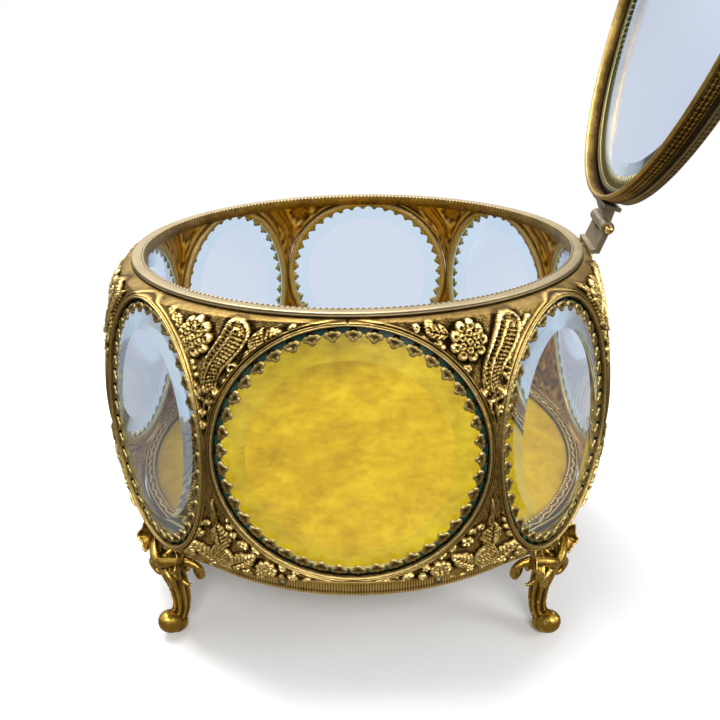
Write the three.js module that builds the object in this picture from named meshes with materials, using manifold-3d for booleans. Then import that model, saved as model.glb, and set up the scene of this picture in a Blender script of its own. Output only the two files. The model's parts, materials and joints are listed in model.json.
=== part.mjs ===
// Eight-sided gilt brass trinket box with bevelled windows, a velvet floor pad,
// four cast feet and a round glass lid on a hinge at its right-hand side.
// Millimetres, +Z up, front face towards -Y, hinge towards +X.
// The origin is the centre of the base plate's underside. The lid stands open.
import * as THREE from 'three';
import { mergeVertices } from 'three/addons/utils/BufferGeometryUtils.js';
import Module from 'manifold-3d';

const wasm = await Module();
wasm.setup();

// ---------------------------------------------------------------- dimensions
const GAP = 0.3; // clearance between neighbouring pieces
const RING_SEGMENTS = 48; // facets round a full-size ring
const WINDOW_SEGMENTS = 28; // facets round a window

// Windows: four round ones on the main faces, four tall ovals between them.
const ROUND = { halfX: 31.6, halfZ: 31.6, distance: 68.0, height: 36.5, lean: 5.7 };
const OVAL = { halfX: 23.2, halfZ: 33.5, distance: 70.9, height: 34.6, lean: 5.3 };
const SIDES = [
  { name: 'front', azimuth: 0, window: ROUND },
  { name: 'front_right', azimuth: 45, window: OVAL },
  { name: 'right', azimuth: 90, window: ROUND },
  { name: 'back_right', azimuth: 135, window: OVAL },
  { name: 'back', azimuth: 180, window: ROUND },
  { name: 'back_left', azimuth: 225, window: OVAL },
  { name: 'left', azimuth: 270, window: ROUND },
  { name: 'front_left', azimuth: 315, window: OVAL },
];

const RIM_TOP = 69.8; // top of the rim above the base plate's underside
const RIM_OUTER = 63.7;
const RIM_INNER = 60.5;
const RIM_FLANGE = 1.0; // thickness of the flat flange
const RIM_SKIRT = 3.3; // depth of the whole rim
const RIM_WALL = 0.6;

const SHELL = 1.2; // thickness of the cast corner pieces
const CORNER_ROWS = 12; // facets up a corner piece, between its two windows
const CORNER_COLUMNS = 5; // facets across a corner piece
const BASE_OUTER = 70.1;
const BASE_WALL = 1.5;
const BASE_TOP = 3.2;
const BASE_BOTTOM = -0.6;
const PLATE_RADIUS = 68.2;
const PLATE_THICK = 1.0;
const PAD_RADIUS = 64.9;
const PAD_TOP = 5.0;
const FLOOR_RING_OUTER = 68.0;
const FLOOR_RING_INNER = 65.3;
const FLOOR_RING_TOP = 4.6;

const TABLE = -31.0; // height of the table under the feet
const FOOT_RADIUS = 74.6; // toe centre from the box's axis
const TOE_RISE = 3.4; // centre of the toe ball above the table
const TOE_BALL = 3.4; // half the toe's width
const RIVET_AZIMUTHS = { left: -14.3, right: 16.8 }; // round from the middle of a round face
const RIVET_HEIGHT = 1.6;
const RIVET_HEAD = 1.15; // radius of the domed head
const RIVET_SHANK = 0.6;
const RIVET_HOLE = 0.9;

const HINGE_AZIMUTH = 84; // degrees round from the front, towards the right
const PIN_RADIUS = 0.9;
const PIN_BALL = 1.15; // radius of the ball on each end of the pin
const PIN_DISTANCE = 68.7; // pin axis from the box's axis
const PIN_HEIGHT = 75.7;
const KNUCKLE_RADIUS = 1.75;
const KNUCKLE_BORE = 1.0;
const HINGE_LENGTH = 17.6;
const LID_KNUCKLE = 6.0; // length of the lid leaf's middle knuckle
const LEAF_THICK = 1.1;
const LID_OPEN = 104; // degrees from closed to the stop

const LID_OUTER = 62.5;
const LID_WALL = 1.2; // thickness of the lid's thin lower hoop
const LID_UNDERSIDE = 70.3; // height of the lid's underside when it is closed
const LID_HEIGHT = 7.0;
const LID_GROOVE = 4.4; // depth of the joint between the lid's two hoops
const LID_GLASS = 60.0;
const LID_GLASS_BACK = 4.3; // underside of the pane above the lid's underside

// ------------------------------------------------------------------ materials
const brass = (color, roughness) =>
  new THREE.MeshStandardMaterial({ color, roughness, metalness: 1.0 });
const castBrass = () => brass(0x9a7a3c, 0.45);
const wornBrass = () => brass(0xa79a80, 0.5);
const brightBrass = () => brass(0xc79a3e, 0.3);
const glass = () => new THREE.MeshStandardMaterial({
  color: 0xcfe4e8, roughness: 0.05, metalness: 0.0, transparent: true, opacity: 0.3,
});
const velvet = () => new THREE.MeshStandardMaterial({
  color: 0xd9b52a, roughness: 0.95, metalness: 0.0,
});

// ---------------------------------------------------------------- mesh helpers
const radians = THREE.MathUtils.degToRad;

// A closed mesh from points and triangles, turned inside out if it needs it.
function closedMesh(points, triangles) {
  let volume = 0;
  for (const [i, j, k] of triangles) {
    volume += points[i].dot(points[j].clone().cross(points[k]));
  }
  const ordered = volume < 0 ? triangles.map(([i, j, k]) => [i, k, j]) : triangles;
  const geometry = new THREE.BufferGeometry();
  const flat = points.flatMap((p) => [p.x, p.y, p.z]);
  geometry.setAttribute('position', new THREE.Float32BufferAttribute(flat, 3));
  geometry.setIndex(ordered.flat());
  return geometry;
}

// Stacked loops of points joined into one body. A tube closes on itself,
// and any other stack is closed at both ends by fans round its end centres.
function loft(loops, closed) {
  const count = loops[0].length;
  const points = loops.flat();
  const triangles = [];
  const bands = closed ? loops.length : loops.length - 1;
  for (let i = 0; i < bands; i += 1) {
    const low = i * count;
    const high = ((i + 1) % loops.length) * count;
    for (let j = 0; j < count; j += 1) {
      const next = (j + 1) % count;
      triangles.push([low + j, low + next, high + next]);
      triangles.push([low + j, high + next, high + j]);
    }
  }
  if (!closed) {
    for (const [start, flip] of [[0, true], [(loops.length - 1) * count, false]]) {
      const centre = new THREE.Vector3();
      for (let j = 0; j < count; j += 1) {
        centre.addScaledVector(points[start + j], 1 / count);
      }
      points.push(centre);
      const hub = points.length - 1;
      for (let j = 0; j < count; j += 1) {
        const next = (j + 1) % count;
        triangles.push(flip ? [hub, start + next, start + j] : [hub, start + j, start + next]);
      }
    }
  }
  return closedMesh(points, triangles);
}

// A point at `offset` outside an ellipse, measured square to its edge.
function ellipsePoint(halfX, halfY, angle, offset, height) {
  const normal = new THREE.Vector2(Math.cos(angle) / halfX, Math.sin(angle) / halfY).normalize();
  return new THREE.Vector3(
    halfX * Math.cos(angle) + offset * normal.x,
    halfY * Math.sin(angle) + offset * normal.y,
    height,
  );
}

// A ring whose section is a closed list of [offset from the ellipse, height].
function ringSweep(section, halfX, halfY, segments) {
  const loops = [];
  for (let i = 0; i < segments; i += 1) {
    const angle = (2 * Math.PI * i) / segments;
    loops.push(section.map(([offset, height]) => ellipsePoint(halfX, halfY, angle, offset, height)));
  }
  return loft(loops, true);
}

// A solid disc built from outlines, each [offset from the ellipse, height].
function layeredDisc(layers, halfX, halfY, segments) {
  const loops = layers.map(([offset, height]) => {
    const loop = [];
    for (let i = 0; i < segments; i += 1) {
      loop.push(ellipsePoint(halfX, halfY, (2 * Math.PI * i) / segments, offset, height));
    }
    return loop;
  });
  return loft(loops, false);
}

const hoop = (section, radius) => ringSweep(section, radius, radius, RING_SEGMENTS);
const disc = (layers, radius) => layeredDisc(layers, radius, radius, RING_SEGMENTS);

// A tapered limb: rings of `sides` points round each [position, radius] stop.
// `reference` is a direction that the limb never runs along.
function limb(stops, sides, reference) {
  const loops = stops.map(([centre, radius], i) => {
    const before = stops[Math.max(i - 1, 0)][0];
    const after = stops[Math.min(i + 1, stops.length - 1)][0];
    const along = after.clone().sub(before).normalize();
    const across = reference.clone().addScaledVector(along, -reference.dot(along)).normalize();
    const up = along.clone().cross(across).normalize();
    const loop = [];
    for (let j = 0; j < sides; j += 1) {
      const angle = (2 * Math.PI * j) / sides;
      loop.push(centre.clone()
        .addScaledVector(across, radius * Math.cos(angle))
        .addScaledVector(up, radius * Math.sin(angle)));
    }
    return loop;
  });
  return loft(loops, false);
}

// Solids for joining and cutting.
function solid(geometry) {
  const bare = geometry.clone();
  bare.deleteAttribute('normal');
  bare.deleteAttribute('uv');
  const merged = mergeVertices(bare, 1e-4);
  return new wasm.Manifold(new wasm.Mesh({
    numProp: 3,
    vertProperties: new Float32Array(merged.attributes.position.array),
    triVerts: new Uint32Array(merged.index.array),
  }));
}

function geometryOf(manifold) {
  const mesh = manifold.getMesh();
  const geometry = new THREE.BufferGeometry();
  geometry.setAttribute('position', new THREE.BufferAttribute(mesh.vertProperties, 3));
  geometry.setIndex(new THREE.BufferAttribute(mesh.triVerts, 1));
  return geometry;
}

const joined = (geometries) =>
  geometryOf(geometries.map(solid).reduce((total, piece) => total.add(piece)));

function place(parent, name, geometry, material) {
  const mesh = new THREE.Mesh(geometry, material);
  mesh.name = name;
  parent.add(mesh);
  return mesh;
}

// ------------------------------------------------------------- window stations
// A window's own axes: x along the face, y up the leaning face, z outwards.
function windowFrame({ azimuth, window }) {
  const turn = radians(azimuth);
  const lean = radians(window.lean);
  const outward = new THREE.Vector3(Math.sin(turn), -Math.cos(turn), 0);
  const vertical = new THREE.Vector3(0, 0, 1);
  const along = new THREE.Vector3(Math.cos(turn), Math.sin(turn), 0);
  const up = vertical.clone().multiplyScalar(Math.cos(lean))
    .addScaledVector(outward, -Math.sin(lean));
  const normal = outward.clone().multiplyScalar(Math.cos(lean))
    .addScaledVector(vertical, Math.sin(lean));
  const centre = outward.clone().multiplyScalar(window.distance);
  centre.z = window.height;
  return new THREE.Matrix4().makeBasis(along, up, normal).setPosition(centre);
}

const edgePoint = (side, x, y) => new THREE.Vector3(x, y, 0).applyMatrix4(windowFrame(side));

function faceNormal(side) {
  const turn = radians(side.azimuth);
  const lean = radians(side.window.lean);
  return new THREE.Vector3(
    Math.sin(turn) * Math.cos(lean),
    -Math.cos(turn) * Math.cos(lean),
    Math.sin(lean),
  );
}

// ---------------------------------------------------------------- corner pieces
// Each casting runs from the middle of one window to the middle of the next:
// wide above and below, and a narrow strip where the two windows nearly touch.
const cylindrical = (point) => ({
  azimuth: Math.atan2(point.x, -point.y),
  radius: Math.hypot(point.x, point.y),
  height: point.z,
});

const fromCylindrical = (azimuth, radius, height) =>
  new THREE.Vector3(radius * Math.sin(azimuth), -radius * Math.cos(azimuth), height);

function between(left, right, share) {
  const a = cylindrical(left);
  const b = cylindrical(right);
  const turn = THREE.MathUtils.euclideanModulo(b.azimuth - a.azimuth, 2 * Math.PI);
  return fromCylindrical(
    a.azimuth + share * turn,
    THREE.MathUtils.lerp(a.radius, b.radius, share),
    THREE.MathUtils.lerp(a.height, b.height, share),
  );
}

// The casting's lowest edge: on top of the base hoop beside a round window,
// and hanging in front of the hoop under an oval one.
function lowerEdge(left, right, share) {
  const towardsOval = left.window === OVAL ? 1 - share : share;
  const drop = THREE.MathUtils.smoothstep(towardsOval, 0.5, 1);
  const spread = THREE.MathUtils.smoothstep(towardsOval, 0.1, 0.8);
  const start = radians(left.azimuth) + (GAP / 2) / BASE_OUTER;
  const turn = radians(45) - GAP / BASE_OUTER;
  return fromCylindrical(
    start + share * turn,
    THREE.MathUtils.lerp(69.9, 73.5, spread),
    THREE.MathUtils.lerp(BASE_TOP + 0.5, 0.1, drop),
  );
}

function upperEdge(left, share) {
  const start = radians(left.azimuth) + (GAP / 2) / RIM_OUTER;
  const turn = radians(45) - GAP / RIM_OUTER;
  return fromCylindrical(start + share * turn, RIM_OUTER + 0.7, RIM_TOP - RIM_FLANGE - GAP);
}

function cornerPiece(left, right) {
  const outer = [];
  const inner = [];
  const normals = [faceNormal(left), faceNormal(right)];
  const inward = (share) => normals[0].clone().lerp(normals[1], share).normalize();
  const addRow = (pointAt) => {
    const front = [];
    const back = [];
    for (let j = 0; j <= CORNER_COLUMNS; j += 1) {
      const share = j / CORNER_COLUMNS;
      const point = pointAt(share);
      front.push(point);
      back.push(point.clone().addScaledVector(inward(share), -SHELL));
    }
    outer.push(front);
    inner.push(back);
  };
  addRow((share) => lowerEdge(left, right, share));
  for (let i = 0; i <= CORNER_ROWS; i += 1) {
    const angle = -Math.PI / 2 + (Math.PI * i) / CORNER_ROWS;
    const seam = GAP / 2;
    const start = edgePoint(
      left,
      seam + left.window.halfX * Math.cos(angle),
      left.window.halfZ * Math.sin(angle),
    );
    const end = edgePoint(
      right,
      -seam - right.window.halfX * Math.cos(angle),
      right.window.halfZ * Math.sin(angle),
    );
    addRow((share) => between(start, end, share));
  }
  addRow((share) => upperEdge(left, share));
  // Each row of the sheet becomes one loop: outer points out, inner points back.
  const loops = outer.map((row, i) => [...row, ...inner[i].slice().reverse()]);
  return sheetBody(loops);
}

// Like loft, but its ends are flat strips between the outer and inner rows.
function sheetBody(loops) {
  const count = loops[0].length;
  const points = loops.flat();
  const triangles = [];
  for (let i = 0; i < loops.length - 1; i += 1) {
    for (let j = 0; j < count; j += 1) {
      const next = (j + 1) % count;
      const low = i * count;
      const high = low + count;
      triangles.push([low + j, low + next, high + next]);
      triangles.push([low + j, high + next, high + j]);
    }
  }
  for (const [start, flip] of [[0, true], [(loops.length - 1) * count, false]]) {
    for (let j = 0; j < count / 2 - 1; j += 1) {
      const a = start + j;
      const b = start + j + 1;
      const c = start + count - 2 - j;
      const d = start + count - 1 - j;
      triangles.push(flip ? [a, c, b] : [a, b, c]);
      triangles.push(flip ? [a, d, c] : [a, c, d]);
    }
  }
  return closedMesh(points, triangles);
}

// ------------------------------------------------------------- windows' pieces
// The gallery strip round a pane: a seat behind it, a wall round it,
// and a lip in place of the folded prongs in front.
const BEZEL_SECTION = [
  [-0.3, -2.9], [-0.3, 0.9], [-3.2, 0.9], [-3.2, 0.3],
  [-1.0, 0.3], [-1.0, -2.3], [-2.4, -2.3], [-2.4, -2.9],
];
const PANE_LAYERS = [[-1.3, -2.0], [-1.3, -0.4], [-8.0, 0.45]];

function addWindow(parent, side) {
  const group = new THREE.Group();
  windowFrame(side).decompose(group.position, group.quaternion, group.scale);
  const { halfX, halfZ } = side.window;
  const kind = side.window === ROUND ? 'round' : 'oval';
  place(group, `${kind}_bezel_${side.name}`,
    ringSweep(BEZEL_SECTION, halfX, halfZ, WINDOW_SEGMENTS), castBrass());
  place(group, `${kind}_glass_${side.name}`,
    layeredDisc(PANE_LAYERS, halfX, halfZ, WINDOW_SEGMENTS), glass());
  parent.add(group);
}

// ------------------------------------------------------------------ rim, floor
// Rivets through the base band, a pair under each round window. They are drawn
// along +x at the band's own height, and turned about the box's axis.
function rivetTurns() {
  return SIDES.filter((side) => side.window === ROUND).flatMap((side) =>
    Object.entries(RIVET_AZIMUTHS).map(([end, azimuth]) =>
      [`${side.name}_${end}`, radians(side.azimuth + azimuth - 90)]));
}

const alongX = (geometry) => geometry.rotateZ(-Math.PI / 2).translate(0, 0, RIVET_HEIGHT);

function rivetHole(turn) {
  const drill = new THREE.CylinderGeometry(RIVET_HOLE, RIVET_HOLE, 8, 12);
  return solid(alongX(drill.translate(0, BASE_OUTER, 0)).rotateZ(turn));
}

function rivetGeometry() {
  const seat = BASE_OUTER + GAP;
  const inside = BASE_OUTER - BASE_WALL - GAP / 2;
  const profile = [
    [0, inside], [RIVET_SHANK, inside], [RIVET_SHANK, seat], [RIVET_HEAD, seat],
    [RIVET_HEAD * 0.85, seat + 0.4], [RIVET_HEAD * 0.5, seat + 0.65], [0, seat + 0.7],
  ].map(([radius, height]) => new THREE.Vector2(radius, height));
  return alongX(new THREE.LatheGeometry(profile, 12));
}

function addBody(parent) {
  const rimSection = [
    [0, RIM_TOP], [RIM_OUTER - RIM_INNER, RIM_TOP],
    [RIM_OUTER - RIM_INNER, RIM_TOP - RIM_FLANGE],
    [RIM_WALL, RIM_TOP - RIM_FLANGE], [RIM_WALL, RIM_TOP - RIM_SKIRT],
    [0, RIM_TOP - RIM_SKIRT],
  ];
  place(parent, 'rim_ring', hoop(rimSection, RIM_INNER), wornBrass());
  const baseInner = BASE_OUTER - BASE_WALL;
  const baseSection = [
    [0, BASE_BOTTOM], [BASE_WALL, BASE_BOTTOM], [BASE_WALL, BASE_TOP], [0, BASE_TOP],
  ];
  const band = solid(hoop(baseSection, baseInner));
  const drilled = rivetTurns().reduce((rest, [, turn]) => rest.subtract(rivetHole(turn)), band);
  place(parent, 'base_ring', geometryOf(drilled), castBrass());
  rivetTurns().forEach(([name, turn]) => {
    const rivet = place(parent, `base_rivet_${name}`, rivetGeometry(), brightBrass());
    rivet.rotation.z = turn;
  });
  place(parent, 'base_plate', disc([[0, 0], [0, PLATE_THICK]], PLATE_RADIUS), castBrass());
  const floorWidth = FLOOR_RING_OUTER - FLOOR_RING_INNER;
  const floorBottom = PLATE_THICK + GAP;
  const floorSection = [
    [0, floorBottom], [floorWidth, floorBottom],
    [floorWidth, FLOOR_RING_TOP - 0.8], [floorWidth / 2, FLOOR_RING_TOP],
    [0, FLOOR_RING_TOP - 0.8],
  ];
  place(parent, 'floor_border', hoop(floorSection, FLOOR_RING_INNER), brightBrass());
  const padLayers = [
    [-0.6, floorBottom], [0, floorBottom + 0.8], [0, PAD_TOP - 1.0],
    [-1.6, PAD_TOP - 0.2], [-8, PAD_TOP],
  ];
  place(parent, 'floor_pad', disc(padLayers, PAD_RADIUS), velvet());
  SIDES.forEach((side, i) => {
    const next = SIDES[(i + 1) % SIDES.length];
    place(parent, `corner_${side.name}_to_${next.name}`, cornerPiece(side, next), castBrass());
    addWindow(parent, side);
  });
}

// ------------------------------------------------------------------------ feet
// Drawn with x outwards from the box's axis, z up, and turned into place.
function footGeometry() {
  const at = (x, y, z) => new THREE.Vector3(x, y, z);
  const sideways = at(0, 1, 0);
  const outwards = at(1, 0, 0);
  const seat = new THREE.BoxGeometry(9, 12, 1.2).translate(63.6, 0, -0.9);
  const leg = limb([
    [at(64.5, 0, -2.6), 1.6], [at(68.5, 0, -4.2), 2.5], [at(71.4, 0, -6.2), 3.4],
    [at(72.4, 0, -9.4), 3.2], [at(71.2, 0, -14.0), 2.5], [at(70.6, 0, -19.0), 2.2],
    [at(70.8, 0, -23.4), 1.9], [at(72.0, 0, -26.4), 2.1], [at(73.4, 0, -27.6), 2.4],
  ], 10, sideways);
  const toe = new THREE.SphereGeometry(TOE_BALL, 12, 8)
    .scale(1.1, 0.95, 1.15).translate(FOOT_RADIUS, 0, TABLE + TOE_RISE);
  // On each side a leaf stands out from the knee, and a scroll hangs under the base band.
  const wings = [-1, 1].flatMap((side) => [
    limb([
      [at(71.2, 1.5 * side, -4.6), 1.7], [at(73.6, 4.6 * side, -3.4), 1.5],
      [at(75.0, 6.6 * side, -1.6), 1.5], [at(75.6, 8.0 * side, 0.4), 0.7],
    ], 8, outwards),
    limb([
      [at(71.0, 2.0 * side, -4.6), 1.6], [at(70.2, 6.0 * side, -3.4), 1.3],
      [at(69.0, 9.0 * side, -4.6), 1.3], [at(68.6, 9.4 * side, -6.8), 1.6],
      [at(68.6, 8.0 * side, -8.4), 1.0],
    ], 8, outwards),
  ]);
  const whole = joined([seat, leg, toe, ...wings]);
  const below = new THREE.BoxGeometry(40, 40, 10).translate(FOOT_RADIUS, 0, TABLE - 5);
  return geometryOf(solid(whole).subtract(solid(below)));
}

function addFeet(parent) {
  const shape = footGeometry();
  SIDES.filter((side) => side.window === OVAL).forEach((side) => {
    const foot = place(parent, `foot_${side.name}`, shape, brightBrass());
    foot.rotation.z = radians(side.azimuth - 90);
  });
}

// ----------------------------------------------------------------------- hinge
// Drawn round the pin: x outwards from the box, y along the pin, z up.
const hingeGroup = () => {
  const group = new THREE.Group();
  group.rotation.z = radians(HINGE_AZIMUTH - 90);
  const turn = radians(HINGE_AZIMUTH);
  group.position.set(PIN_DISTANCE * Math.sin(turn), -PIN_DISTANCE * Math.cos(turn), PIN_HEIGHT);
  return group;
};

function barrel(radius, start, end) {
  const length = end - start;
  return new THREE.CylinderGeometry(radius, radius, length, 16).translate(0, (start + end) / 2, 0);
}

function strap(outline, start, end) {
  const shape = new THREE.Shape(outline.map(([x, z]) => new THREE.Vector2(x, z)));
  return new THREE.ExtrudeGeometry(shape, { depth: end - start, bevelEnabled: false })
    .rotateX(Math.PI / 2).translate(0, end, 0);
}

function addBodyHinge(parent) {
  const group = hingeGroup();
  const half = HINGE_LENGTH / 2;
  const middle = LID_KNUCKLE / 2 + GAP;
  const edge = RIM_OUTER + 1.0 - PIN_DISTANCE;
  const plateTop = RIM_TOP - PIN_HEIGHT;
  const plate = [
    [edge, plateTop - LEAF_THICK], [edge, plateTop],
    [-2.6, plateTop], [-0.9, -1.2], [0.6, -1.2], [-1.4, plateTop - LEAF_THICK],
  ];
  const bore = solid(barrel(KNUCKLE_BORE, -half - 1, half + 1));
  const leaf = solid(strap(plate, -half, half))
    .add(solid(barrel(KNUCKLE_RADIUS, -half, half)));
  const slot = solid(barrel(KNUCKLE_RADIUS + 0.45, -middle, middle));
  place(group, 'hinge_leaf_body', geometryOf(leaf.subtract(slot).subtract(bore)), wornBrass());
  const pin = [
    barrel(PIN_RADIUS, -half - 0.8, half + 0.8),
    new THREE.SphereGeometry(PIN_BALL, 12, 8).translate(0, -half - 1.5, 0),
    new THREE.SphereGeometry(PIN_BALL, 12, 8).translate(0, half + 1.5, 0),
  ];
  place(group, 'hinge_pin', joined(pin), brightBrass());
  parent.add(group);
}

// The lid is drawn closed, in the hinge's own axes, then swung open about the pin.
function addLid(parent) {
  const group = hingeGroup();
  const swing = new THREE.Group();
  swing.rotation.y = radians(LID_OPEN);
  group.add(swing);
  const lid = new THREE.Group();
  lid.position.set(-PIN_DISTANCE, 0, LID_UNDERSIDE - PIN_HEIGHT);
  swing.add(lid);

  const inner = LID_OUTER - LID_WALL;
  const frameSection = [
    [0, 0.5], [0.35, 0], [LID_WALL - 0.35, 0], [LID_WALL, 0.4],
    [LID_WALL, LID_GROOVE - 0.2], [0, LID_GROOVE - 0.2],
  ];
  place(lid, 'lid_frame', hoop(frameSection, inner), wornBrass());
  const topSection = [
    [-1.0, LID_GROOVE + 0.2], [LID_WALL, LID_GROOVE + 0.2], [LID_WALL, LID_HEIGHT - 0.6],
    [LID_WALL - 0.6, LID_HEIGHT], [-2.7, LID_HEIGHT], [-2.7, LID_HEIGHT - 0.6],
    [-1.0, LID_HEIGHT - 0.6],
  ];
  place(lid, 'lid_top_hoop', hoop(topSection, inner), castBrass());
  const bezelSection = [
    [-0.3, 3.2], [-0.3, 4.0], [-4.8, 4.0], [-4.8, 3.5], [-2.3, 3.2],
  ];
  place(lid, 'lid_bezel', hoop(bezelSection, inner), castBrass());
  const paneLayers = [
    [-8.0, LID_GLASS_BACK], [0, LID_GLASS_BACK], [0, LID_GLASS_BACK + 1.0],
    [-8.0, LID_GLASS_BACK + 1.8],
  ];
  place(lid, 'lid_glass', disc(paneLayers, LID_GLASS), glass());

  const half = LID_KNUCKLE / 2;
  const edge = LID_OUTER + GAP - PIN_DISTANCE;
  const low = LID_UNDERSIDE + 2.4 - PIN_HEIGHT;
  const plate = [
    [edge, low], [edge, 1.6], [edge + LEAF_THICK, 1.6],
    [0, 1.7], [0, 0.4], [edge + LEAF_THICK, low],
  ];
  const leaf = solid(strap(plate, -half, half)).add(solid(barrel(KNUCKLE_RADIUS, -half, half)));
  const wide = solid(strap([
    [edge, low], [edge, 1.6], [edge + LEAF_THICK, 1.6], [edge + LEAF_THICK, low],
  ], -HINGE_LENGTH / 2, HINGE_LENGTH / 2));
  const bore = solid(barrel(KNUCKLE_BORE, -half - 1, half + 1));
  place(swing, 'hinge_leaf_lid', geometryOf(leaf.add(wide).subtract(bore)), wornBrass());
  parent.add(group);
}

// ------------------------------------------------------------------- assembly
const box = new THREE.Group();
addBody(box);
addFeet(box);
addBodyHinge(box);
addLid(box);

export default box;
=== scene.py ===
"""Looks for the bevelled glass trinket box: relief castings, prongs, panes, feet, velvet."""
import json
import math
from functools import partial

import bpy
import numpy as np
from mathutils import Matrix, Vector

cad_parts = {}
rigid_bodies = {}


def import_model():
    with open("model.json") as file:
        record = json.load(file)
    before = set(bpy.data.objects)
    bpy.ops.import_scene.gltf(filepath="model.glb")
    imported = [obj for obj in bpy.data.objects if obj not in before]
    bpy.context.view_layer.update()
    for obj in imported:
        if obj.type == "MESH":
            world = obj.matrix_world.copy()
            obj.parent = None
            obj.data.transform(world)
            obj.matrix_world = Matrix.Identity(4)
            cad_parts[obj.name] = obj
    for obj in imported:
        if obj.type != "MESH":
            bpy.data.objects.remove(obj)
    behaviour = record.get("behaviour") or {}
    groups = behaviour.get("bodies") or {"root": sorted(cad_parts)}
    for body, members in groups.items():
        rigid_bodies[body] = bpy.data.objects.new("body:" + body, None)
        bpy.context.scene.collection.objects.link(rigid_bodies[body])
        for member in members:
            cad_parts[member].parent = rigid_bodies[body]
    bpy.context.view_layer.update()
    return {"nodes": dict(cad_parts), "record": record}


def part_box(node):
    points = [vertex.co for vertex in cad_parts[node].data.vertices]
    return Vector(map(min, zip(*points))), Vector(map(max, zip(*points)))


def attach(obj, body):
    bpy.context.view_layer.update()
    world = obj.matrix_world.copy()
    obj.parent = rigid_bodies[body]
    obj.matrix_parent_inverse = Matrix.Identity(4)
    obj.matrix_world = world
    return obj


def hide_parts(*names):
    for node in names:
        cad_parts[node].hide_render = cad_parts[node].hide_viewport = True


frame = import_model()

# ------------------------------------------------------------------ dimensions
# Millimetres in the CAD frame; MM turns them into Blender's metres.
MM = 0.001
ROUND = {"kind": "round", "half": (31.6, 31.6), "distance": 68.0, "height": 36.5, "lean": 5.7}
OVAL = {"kind": "oval", "half": (23.2, 33.5), "distance": 70.9, "height": 34.6, "lean": 5.3}
SIDE_NAMES = (
    "front", "front_right", "right", "back_right",
    "back", "back_left", "left", "front_left",
)
SIDES = [
    {"name": name, "azimuth": 45.0 * i, "window": OVAL if i % 2 else ROUND}
    for i, name in enumerate(SIDE_NAMES)
]
GAP = 0.15  # between a corner casting and its windows

rim_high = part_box("rim_ring")[1]
RIM_OUTER, RIM_TOP = rim_high[1] / MM, rim_high[2] / MM
RIM_INNER = RIM_OUTER - 3.2
base_low, base_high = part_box("base_ring")
BASE_OUTER = base_high[1] / MM
BASE_BOTTOM, BASE_TOP = base_low[2] / MM, base_high[2] / MM
PAD_LOW, PAD_HIGH = (corner[2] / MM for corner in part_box("floor_pad"))
PAD_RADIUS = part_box("floor_pad")[1][1] / MM
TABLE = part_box("foot_front_left")[0][2] / MM

PRONG_PITCH = 4.85
RIVET_RISE = 0.8  # height of a rivet head's crown
POST_ANGLE = {"round": 25.3, "oval": 19.7}  # from a window's middle to its post
SHELL = 1.1  # thickness of the corner castings

joint = frame["record"]["behaviour"]["joints"][0]
PIN = np.array(joint["pos_m"]) / MM
LID_OPEN = math.radians(104.0)  # how far the lid stands open at rest
LID_UNDERSIDE = 70.3
LID_OUTER = 62.5
LID_INNER = LID_OUTER - 1.2
LID_HEIGHT = 7.0
LID_GROOVE = 4.4

# --------------------------------------------------------------- camera, light
# The camera's place was solved in units of the front window's distance from the axis.
SCALE_UNIT = ROUND["distance"]
CAMERA_PLACE = (0.1234 * SCALE_UNIT, -2.9005 * SCALE_UNIT, ROUND["height"] + 1.2313 * SCALE_UNIT)
CAMERA_DOWN = 0.4274
CAMERA_YAW = -0.0098
CAMERA_ROLL = -0.0073
CAMERA_LENS = 34.11
CAMERA_SHIFT = (-0.0306, -0.0021)
WORLD_FILL = (0.33, 0.34, 0.36)
SKY_THROUGH_GLASS = (0.66, 0.745, 0.915)


def add_camera():
    forward = np.array([
        math.sin(CAMERA_YAW) * math.cos(CAMERA_DOWN),
        math.cos(CAMERA_YAW) * math.cos(CAMERA_DOWN),
        -math.sin(CAMERA_DOWN),
    ])
    level = np.array([math.cos(CAMERA_YAW), -math.sin(CAMERA_YAW), 0.0])
    upright = np.cross(level, forward)
    right = level * math.cos(CAMERA_ROLL) + upright * math.sin(CAMERA_ROLL)
    up = upright * math.cos(CAMERA_ROLL) - level * math.sin(CAMERA_ROLL)
    data = bpy.data.cameras.new("camera")
    data.lens = CAMERA_LENS
    data.sensor_width = 36.0
    data.shift_x, data.shift_y = CAMERA_SHIFT
    data.clip_start = 0.01
    camera = bpy.data.objects.new("camera", data)
    place = Matrix.Identity(4)
    for row in range(3):
        place[row][0] = right[row]
        place[row][1] = up[row]
        place[row][2] = -forward[row]
        place[row][3] = CAMERA_PLACE[row] * MM
    camera.matrix_world = place
    bpy.context.collection.objects.link(camera)
    bpy.context.scene.camera = camera


def add_lamp(name, place, target, size, power, colour):
    data = bpy.data.lights.new(name, "AREA")
    data.shape = "RECTANGLE"
    data.size, data.size_y = size
    data.energy = power
    data.color = colour
    lamp = bpy.data.objects.new(name, data)
    lamp.location = place
    away = Matrix.Identity(3)
    aim = np.array(target) - np.array(place)
    aim = aim / np.linalg.norm(aim)
    side = np.cross(aim, (0.0, 0.0, 1.0))
    side = side / np.linalg.norm(side)
    top = np.cross(side, aim)
    away.col[0], away.col[1], away.col[2] = side, top, -aim
    lamp.rotation_euler = away.to_euler()
    bpy.context.collection.objects.link(lamp)


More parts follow.
